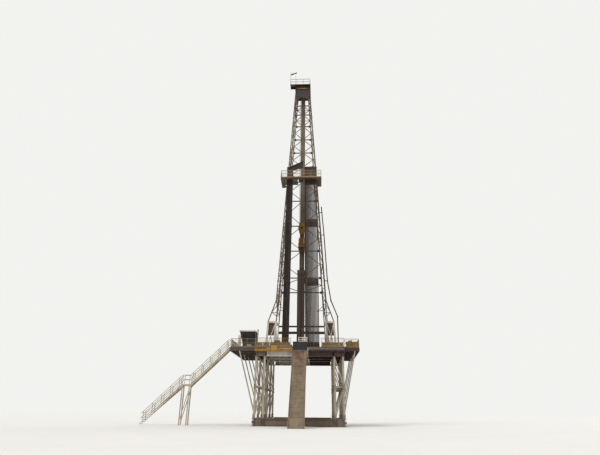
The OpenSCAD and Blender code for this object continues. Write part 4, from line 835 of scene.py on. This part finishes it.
PLATE_T, PLATE_TOP = 2.8, MAST_H - 0.4
arch_half = plate_half(PLATE_LOW) - 8
outline = [(arch_half * math.cos(a), max(ARCH_TOP - arch_half + arch_half * math.sin(a), PLATE_LOW))
           for a in (math.pi * i / 24 for i in range(25))]
foot_half, top_half = plate_half(PLATE_LOW), plate_half(MAST_H)
outline += [(-foot_half, PLATE_LOW), (-top_half, PLATE_TOP), (top_half, PLATE_TOP), (foot_half, PLATE_LOW)]
front_plate = Shape()
front_plate.loft([[(x, MAST_FRONT + y, z) for x, z in outline] for y in (-PLATE_T, PLATE_T)])
for side in (-1, 1):
    front_plate.bolts([(side * (plate_half(z) - 4), MAST_FRONT - PLATE_T, z)
                       for z in range(4040, 4260, 26)], (0, -1, 0), 3.4, 1.4)
front_plate = front_plate.finish("crown_front_plate", "crown_dark")
back_plate = Shape()
foot_half = plate_half(BACK_PLATE_LOW)
outline = [(-foot_half, BACK_PLATE_LOW), (foot_half, BACK_PLATE_LOW),
           (top_half, PLATE_TOP), (-top_half, PLATE_TOP)]
back_plate.loft([[(x, MAST_BACK + y, z) for x, z in outline] for y in (-PLATE_T, PLATE_T)])
back_plate = back_plate.finish("crown_back_plate", "crown_dark")
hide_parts("crown_plates")
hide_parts("crown_plates")

star = Shape()
for low, high in zip(TOP_GIRTS, TOP_GIRTS[1:]):
    middle = (low + high) / 2
    star.bar((0, MAST_BACK, low), (0, MAST_BACK, high), 6, 6)
    star.bar((-inner_x(middle) + 8, MAST_BACK, middle), (inner_x(middle) - 8, MAST_BACK, middle), 6, 6)
star.finish("mast_top_cross_bars", "mast_maroon")

# Racking board

latches = Shape()
for row in range(ROW_N + 1):
    y = ROW_Y0 - ROW_PITCH / 2 + row * ROW_PITCH
    for x0, count, _, lean, _ in (STANDS["left"], STANDS["right"]):
        for i in range(count):
            x = x0 + (i + 0.5) * PIPE_PITCH + BOARD_Z * math.tan(math.radians(lean))
            latches.box((x - 1.4, y - 3, BOARD_Z + 0.2), (x + 1.4, y + 3, BOARD_Z + 3))
            latches.rod((x - 3, y, BOARD_Z + 3), (x + 3, y, BOARD_Z + 3), 2.4, 6)
latches.finish("finger_latches", BRIGHT, slot="dark_steel")

walk = Shape()
for i in range(20):
    x = -BOARD_HALF + 12 + i * 30
    walk.box((x - 1, BOARD_FRONT + 12, BOARD_Z + 0.1), (x + 1, BOARD_FRONT + WALK_W - 2, BOARD_Z + 1.2))
walk.box((-BOARD_HALF, BOARD_FRONT - 2.5, BOARD_Z - 8), (BOARD_RIGHT, BOARD_FRONT - 0.1, BOARD_Z + 1))
walk.finish("board_edge_strip", "board_rail")

# Racked pipe

bores = Shape()
for x0, count, height, lean, rows in STANDS.values():
    tilt = math.radians(lean)
    top = Vector((math.sin(tilt), 0, math.cos(tilt)))
    for row in range(rows):
        for i in range(count):
            base = Vector((x0 + i * PIPE_PITCH, ROW_Y0 + row * ROW_PITCH, PIPE_FOOT))
            bores.rod(base + top * (height + 0.1), base + top * (height + 0.5), PIPE_BORE, 10)
bores.finish("pipe_bores", BORE, slot="pipe_dark")

# Cabin

cabin_x1 = -FLOOR_X - 42
cabin_x0 = cabin_x1 - CABIN_W
cabin_y0 = -CABIN_FRONT
SILL_Z, HEAD_Z = 78, CABIN_H - 14


def cabin_out(z):
    """How far the windows lean out at a height above the floor."""
    return CABIN_FLARE * max(0, z - SILL_Z) / (CABIN_H - SILL_Z)


def on_front(x, z):
    return Vector((x, cabin_y0 - cabin_out(z) - 1.2, z))


def on_left(y, z):
    return Vector((cabin_x0 - cabin_out(z) - 1.2, y, z))


def on_right(y, z):
    return Vector((cabin_x1 + 1.2, y, z))


trim = Shape()


def frame_window(at, a0, a1, z0, z1):
    corners = [at(a0, z0), at(a1, z0), at(a1, z1), at(a0, z1)]
    for start, end in zip(corners, corners[1:] + corners[:1]):
        trim.bar(start, end, 3.4, 3)


mullion = cabin_x0 + 46
frame_window(on_front, cabin_x0 + 4, mullion - 8, 14, SILL_Z)
frame_window(on_front, cabin_x0 + 4, mullion - 8, SILL_Z, HEAD_Z)
frame_window(on_front, mullion, cabin_x1 - 12, SILL_Z, HEAD_Z)
pane = (CABIN_L - 40) / 3
for i in range(3):
    y = cabin_y0 + 14 + i * (pane + 8)
    frame_window(on_left, y, y + pane - 4, SILL_Z, HEAD_Z)
frame_window(on_right, cabin_y0 + 18, cabin_y0 + 108, SILL_Z, HEAD_Z)
before_glass = Vector((0, -2, 0))
for x in (mullion + 34, mullion + 78):
    trim.bar(on_front(x, SILL_Z + 8) + before_glass, on_front(x + 22, SILL_Z + 74) + before_glass, 2, 1.6)
trim.finish("cabin_window_trim", RUBBER, slot="dark_paint")

panel = Shape()
panel_x0, panel_x1, panel_y = mullion + 8, mullion + 70, cabin_y0 - 3
panel.box((panel_x0, panel_y, 14), (panel_x1, cabin_y0 - 0.2, SILL_Z - 5))
for i in range(3):
    x = panel_x0 + 10 + i * 19
    panel.box((x, panel_y - 1.4, 18), (x + 2.4, panel_y, SILL_Z - 9))
panel.bolts([(x, panel_y, z) for x in (panel_x0 + 4, panel_x1 - 4) for z in (20, 44, 67)],
            (0, -1, 0), 4, 1.6)
panel.finish("cabin_front_panel", "spreader_paint")

shell = Shape()
for i in range(12):
    y = cabin_y0 + 10 + i * 21
    shell.bar(on_left(y, 12), on_left(y, SILL_Z - 6), 2.4, 1.6)
shell.finish("cabin_panel_ribs", "cabin_paint")

roof = Shape()
roof_x0, roof_y0 = cabin_x0 - CABIN_FLARE, cabin_y0 - CABIN_FLARE
for i in range(9):
    y = roof_y0 + 16 + i * 34
    roof.box((roof_x0, y - 2, CABIN_H + 9.1), (cabin_x1, y + 2, CABIN_H + 12))
roof.box((roof_x0 - 7.5, roof_y0 - 8.5, CABIN_H - 6), (cabin_x1 + 5.5, roof_y0 - 6.2, CABIN_H + 10))
roof.finish("cabin_roof_ribs", "white_paint")

seat = Shape()
seat_x, seat_y = cabin_x0 + 88, cabin_y0 + 110
SEAT_LOW, SEAT_TOP, CABIN_FLOOR = 44, 56, 8.2
seat.box((seat_x - 22, seat_y - 22, SEAT_LOW), (seat_x + 22, seat_y + 24, SEAT_TOP))
seat.box((seat_x - 21, seat_y + 16, SEAT_TOP), (seat_x + 21, seat_y + 27, 118))
for side in (-27, 23):
    seat.box((seat_x + side, seat_y - 14, 62), (seat_x + side + 5, seat_y + 20, 68))
seat.finish("driller_seat", SEAT, slot="dark_paint", bevel=4)

desk = Shape()
desk.rod((seat_x, seat_y, CABIN_FLOOR), (seat_x, seat_y, SEAT_LOW), 14, 12)
for side in (-1, 1):
    x = seat_x + side * 44
    desk.box((x - 12, seat_y - 46, CABIN_FLOOR), (x + 12, seat_y + 6, 62))
    desk.bar((x, seat_y - 44, 70), (x, seat_y + 2, 64), 24, 6)
    desk.rod((x, seat_y - 14, 66), (x + 2 * side, seat_y - 20, 80), 3, 8)
desk.finish("driller_desk", "cabin_floor_plate", bevel=1)

# Drawworks and winch

wraps = Shape()
WRAPS = 36
for i in range(WRAPS):
    x = -DRUM_L / 2 + 4 + (DRUM_L - 8) * i / (WRAPS - 1)
    wraps.ring((x, DRAWWORKS_Y, DRUM_Z), (1, 0, 0), DRUM_R - 0.6, 3.4, 28, 6)
wraps.finish("drum_rope", "wire_rope", smooth=True)

works = Shape()
BRAKE_X, BRAKE_Z, FLANGE_X = -205, 84, (-66, 63)
HOUSING_FRONT, HOUSING_TOP = DRAWWORKS_Y - 84, 181
for i in range(10):
    works.ring((BRAKE_X + 9 * i, DRAWWORKS_Y, BRAKE_Z), (1, 0, 0), 46.5, 2.4, 28, 4)
for x in (96, 160, 232):
    works.box((x, HOUSING_FRONT - 4, 24), (x + 3, HOUSING_FRONT, 140))
    works.box((x, DRAWWORKS_Y - 60, HOUSING_TOP), (x + 3, DRAWWORKS_Y + 60, HOUSING_TOP + 3))
works.box((100, DRAWWORKS_Y - 40, HOUSING_TOP), (150, DRAWWORKS_Y + 10, HOUSING_TOP + 9))
works.bolts([(102 + 16 * i, HOUSING_FRONT, z) for i in range(9) for z in (32, 132)], (0, -1, 0), 4, 3)
for x in FLANGE_X:
    works.ring((x, DRAWWORKS_Y, DRUM_Z), (1, 0, 0), 61, 4, 32, 6)
works.finish("drawworks_details", "machine_olive")

winch = Shape()
WINCH_X, WINCH_Y, WINCH_Z = -308, -402, 68
for i in range(12):
    winch.ring((WINCH_X + 3.4 * i, WINCH_Y, WINCH_Z), (1, 0, 0), 15.6, 2.6, 18, 5)
winch.finish("winch_rope", "wire_rope")

lenses = Shape()
post_x, lens_y, LENS_Z = -FLOOR_X - 12, cabin_y0 - 34, 243
lenses.box((post_x - 7, lens_y - 0.6, LENS_Z - 19), (post_x + 7, lens_y + 0.8, LENS_Z + 19))
lenses.ring((post_x, lens_y, LENS_Z), (0, 1, 0), 6, 2, 14, 6)
lenses.finish("lamp_lens", LAMP, slot="white_paint")

# Travelling gear

hub = Shape()
BLOCK_FACE = 35
for side in (-1, 1):
    face, collar, end = (side * (BLOCK_FACE + proud) for proud in (0, 3, 7))
    hub.rod((0, face, BLOCK_Z), (0, collar, BLOCK_Z), 38, 28, 34)
    hub.rod((0, collar, BLOCK_Z), (0, end, BLOCK_Z), 20, 6)
    hub.bolts([(x, face, BLOCK_Z + z) for x in (-18, 18) for z in (-84, 80)], (0, side, 0), 7, 3)
hub.finish("block_hub", "forged_steel", "travelling_gear")

covers = Shape()
for side in (-1, 1):
    y = side * (BLOCK_FACE + 0.4)
    covers.ring((0, y, BLOCK_Z), (0, 1, 0), 49, 4, 36, 6)
    for low, high in ((56, 92), (-56, -104)):
        covers.bar((0, y, BLOCK_Z + low), (0, y, BLOCK_Z + high), 12, 3)
covers.finish("block_ribs", "block_yellow", "travelling_gear")

drive = Shape()
DRIVE_FRONT = -42
for x in (-38, -14, 10, 34):
    drive.box((x, DRIVE_FRONT - 3, DRIVE_Z + 6), (x + 4, DRIVE_FRONT, DRIVE_Z + 56))
for z in (DRIVE_Z + 4, DRIVE_Z + 56):
    drive.box((-48, DRIVE_FRONT - 3.5, z), (48, DRIVE_FRONT, z + 5))
for i in range(8):
    drive.ring((0, 8, DRIVE_Z + 74 + 9 * i), (0, 0, 1), 47, 3, 36, 5)
drive.bolts([(x, DRIVE_FRONT - 3, DRIVE_Z + z) for x in (-44, -26, 0, 26, 44) for z in (9, 58)],
            (0, -1, 0), 5, 2.5)
drive.finish("drive_ribs", "drive_yellow", "travelling_gear")

hook = Shape()
for rise, diameter in ((2, 44), (16, 36), (34, 40)):
    hook.ring((0, 0, DRIVE_Z + DRIVE_H + rise), (0, 0, 1), diameter / 2, 6, 28, 8)
hook.finish("hook_collars", "forged_steel", "travelling_gear", smooth=True)

skirt = Shape()
skirt.box((-52, -46, DRIVE_Z - 6), (52, 58, DRIVE_Z - 0.2))
skirt.rod((0, 0, DRIVE_Z - 34), (0, 0, DRIVE_Z - 16.2), 30, 20, 40)
skirt.rod((0, 0, DRIVE_Z - 76), (0, 0, DRIVE_Z - 60), 22, 16)
for side in (-1, 1):
    skirt.rod((side * 40, -30, DRIVE_Z - 30), (side * 40, -30, DRIVE_Z - 6), 9, 12)
skirt.finish("drive_skirt", "forged_steel", "travelling_gear")

ropes = Shape()
ROPE_SEGMENTS = 48
rope_rings = [(i / ROPE_SEGMENTS, circle(ROPE_D, 8)) for i in range(ROPE_SEGMENTS + 1)]
for x in (-ROPE_X, ROPE_X):
    for i in range(4):
        y = (i - 1.5) * ROPE_PITCH
        ropes.between((x, y, BLOCK_Z), (x, y, ROPE_TOP), rope_rings)
ropes = ropes.finish("drilling_ropes", "wire_rope", body=None, smooth=True)
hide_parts("drilling_lines")
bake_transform(ropes)

cylinders = Shape()
CYLINDER_Y = DRIVE_FRONT - 5
for side in (-1, 1):
    x = side * 30
    cylinders.rod((x, CYLINDER_Y, DRIVE_Z + 72), (x, CYLINDER_Y, DRIVE_Z + 138), 7, 12)
    cylinders.rod((x, CYLINDER_Y, DRIVE_Z + 61), (x, CYLINDER_Y, DRIVE_Z + 80), 12, 12)
    cylinders.bar((x, CYLINDER_Y, DRIVE_Z + 136), (x, CYLINDER_Y + 14, DRIVE_Z + 136), 8, 6)
    cylinders.rod((side * 44, -34, DRIVE_Z - 44), (side * 44, -34, DRIVE_Z - 6), 5, 10)
cylinders.finish("drive_cylinders", BRIGHT, "travelling_gear", "dark_steel")

grips = Shape()
ELEVATOR_Z = PIVOT_Z - LINK_L
for side in (-1, 1):
    grips.ring((side * (LINK_X + 6.5), 0, ELEVATOR_Z), (1, 0, 0), 6, 2, 18, 6)
    grips.box((side * 12 - 2, -23, ELEVATOR_Z - 12), (side * 12 + 2, -19, ELEVATOR_Z + 6))
for rise, radius in ((12, 17), (-20, 19)):
    grips.ring((0, 0, ELEVATOR_Z + rise), (0, 0, 1), radius, 3, 28, 6)
grips.finish("elevator_bands", BRIGHT, "links", "dark_steel", smooth=True)

# Cloth


def cloth_sheet(name, slot, columns, rows, place):
    """A single sheet: place(u, v) gives the point at a share along and up the cloth."""
    bm = bmesh.new()
    grid = [[bm.verts.new(place(i / columns, j / rows)) for i in range(columns + 1)]
            for j in range(rows + 1)]
    for low, high in zip(grid, grid[1:]):
        for i in range(columns):
            bm.faces.new((low[i], low[i + 1], high[i + 1], high[i]))
    piece = add_piece(name, bm, LOOKS[slot], smooth=True)
    thick = piece.modifiers.new("thickness", "SOLIDIFY")
    thick.thickness = 0.0008
    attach(piece, "rig")
    return piece


flag_low, flag_high = ((Vector(corner) - WELL) * 1000 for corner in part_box("flag"))
# Length, height at the pole, how far the lower edge rises to the fly, and height at the fly
FLAG_L, FLAG_HOIST, FLAG_RISE, FLAG_FLY = flag_high.x - flag_low.x, 30, 44, 22


def flag_point(u, v):
    height = FLAG_RISE * u + share_of((FLAG_HOIST, FLAG_FLY), u) * v
    ripple = 5 * u ** 0.7 * math.sin(9.5 * u + 1.6 * v)
    return Vector((flag_low.x + FLAG_L * u, flag_low.y + 1 + ripple, flag_low.z + height))


flag = cloth_sheet("flag_cloth", "flag_cloth", 36, 14, flag_point)
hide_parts("flag")

# Wind cloth at its left and right end: place, lower edge, upper edge and foot of the post
WIND_X, WIND_LOW, WIND_TOP, WIND_FOOT = (-194, 22), (83, 158), (164, 268), (0.2, 12.2)
wind_y = BOARD_FRONT + 15


def wind_point(u, v):
    low, high = share_of(WIND_LOW, u), share_of(WIND_TOP, u)
    belly = 5 * math.sin(math.pi * u) * math.sin(math.pi * v) + 1.5 * math.sin(26 * u) * (1 - v)
    return Vector((share_of(WIND_X, u), wind_y + 5 + belly, BOARD_Z + low + (high - low) * v))


wind = cloth_sheet("wind_wall_cloth", "wind_cloth", 48, 14, wind_point)
posts = Shape()
for x, z, foot in zip(WIND_X, WIND_TOP, WIND_FOOT):
    posts.bar((x, wind_y, BOARD_Z + foot), (x, wind_y, BOARD_Z + z + 12), 6, 6)
    posts.box((x - 7, wind_y - 4, BOARD_Z + foot), (x + 7, wind_y + 7, BOARD_Z + foot + 3))
pole = [(x, wind_y, BOARD_Z + z - 2) for x, z in zip(WIND_X, WIND_TOP)]
posts.bar(*pole, 5, 5)
WIND_RINGS = 13
for i in range(WIND_RINGS):
    u = (i + 0.5) / WIND_RINGS
    centre = (share_of(WIND_X, u), wind_y + 1, BOARD_Z - 2 + share_of(WIND_TOP, u))
    posts.ring(centre, (1, 0, 0.48), 4.4, 1.2, 12, 5)
wind_posts = posts.finish("wind_wall_posts", "dark_paint")
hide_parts("wind_wall")
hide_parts("wind_wall")

# Ground and light

GROUND_HALF, GROUND_COLOR, SKY_COLOR = 30, (0.93, 0.92, 0.90), (0.95, 0.95, 0.94)
ground_mesh = bpy.data.meshes.new("ground")
ground_mesh.from_pydata([(x, y, 0) for x, y in corners(GROUND_HALF)], [], [(0, 2, 3, 1)])
ground = bpy.data.objects.new("ground", ground_mesh)
bpy.context.scene.collection.objects.link(ground)
ground_look = Look("ground", roughness=0.9)
shade = ground_look.ramp(ground_look.noise(2), 0.3, 0.7)
ground_look.color(ground_look.mix(shade, faded(GROUND_COLOR, 0.985), GROUND_COLOR))
ground_mesh.materials.append(ground_look.material)

world = bpy.data.worlds.new("studio")
bpy.context.scene.world = world
world.use_nodes = True
tree = world.node_tree
sky = tree.nodes["Background"]
sky.inputs["Color"].default_value = (1, 1, 1, 1)
sky.inputs["Strength"].default_value = 0.62
shown = add_node(tree, "Background", {"Color": SKY_COLOR})
path = add_node(tree, "LightPath", {})
seen_by = path.outputs["Is Camera Ray"]
for ray in ("Is Glossy Ray", "Is Transmission Ray"):
    seen_by = add_node(tree, "Math", {0: seen_by, 1: path.outputs[ray]}, operation="MAXIMUM").outputs[0]
mixed = add_node(tree, "MixShader", {"Fac": seen_by, 1: sky.outputs[0], 2: shown.outputs[0]})
tree.links.new(mixed.outputs[0], tree.nodes["World Output"].inputs["Surface"])

for name, strength, soft, turn in (("key", 1.5, 25, (42, 0, -38)), ("fill", 0.5, 40, (60, 0, 140))):
    lamp = bpy.data.lights.new(name, "SUN")
    lamp.energy = strength
    lamp.angle = math.radians(soft)
    lamp_object = bpy.data.objects.new(name, lamp)
    lamp_object.rotation_euler = [math.radians(angle) for angle in turn]
    bpy.context.scene.collection.objects.link(lamp_object)

bpy.context.scene.view_settings.view_transform = "Standard"
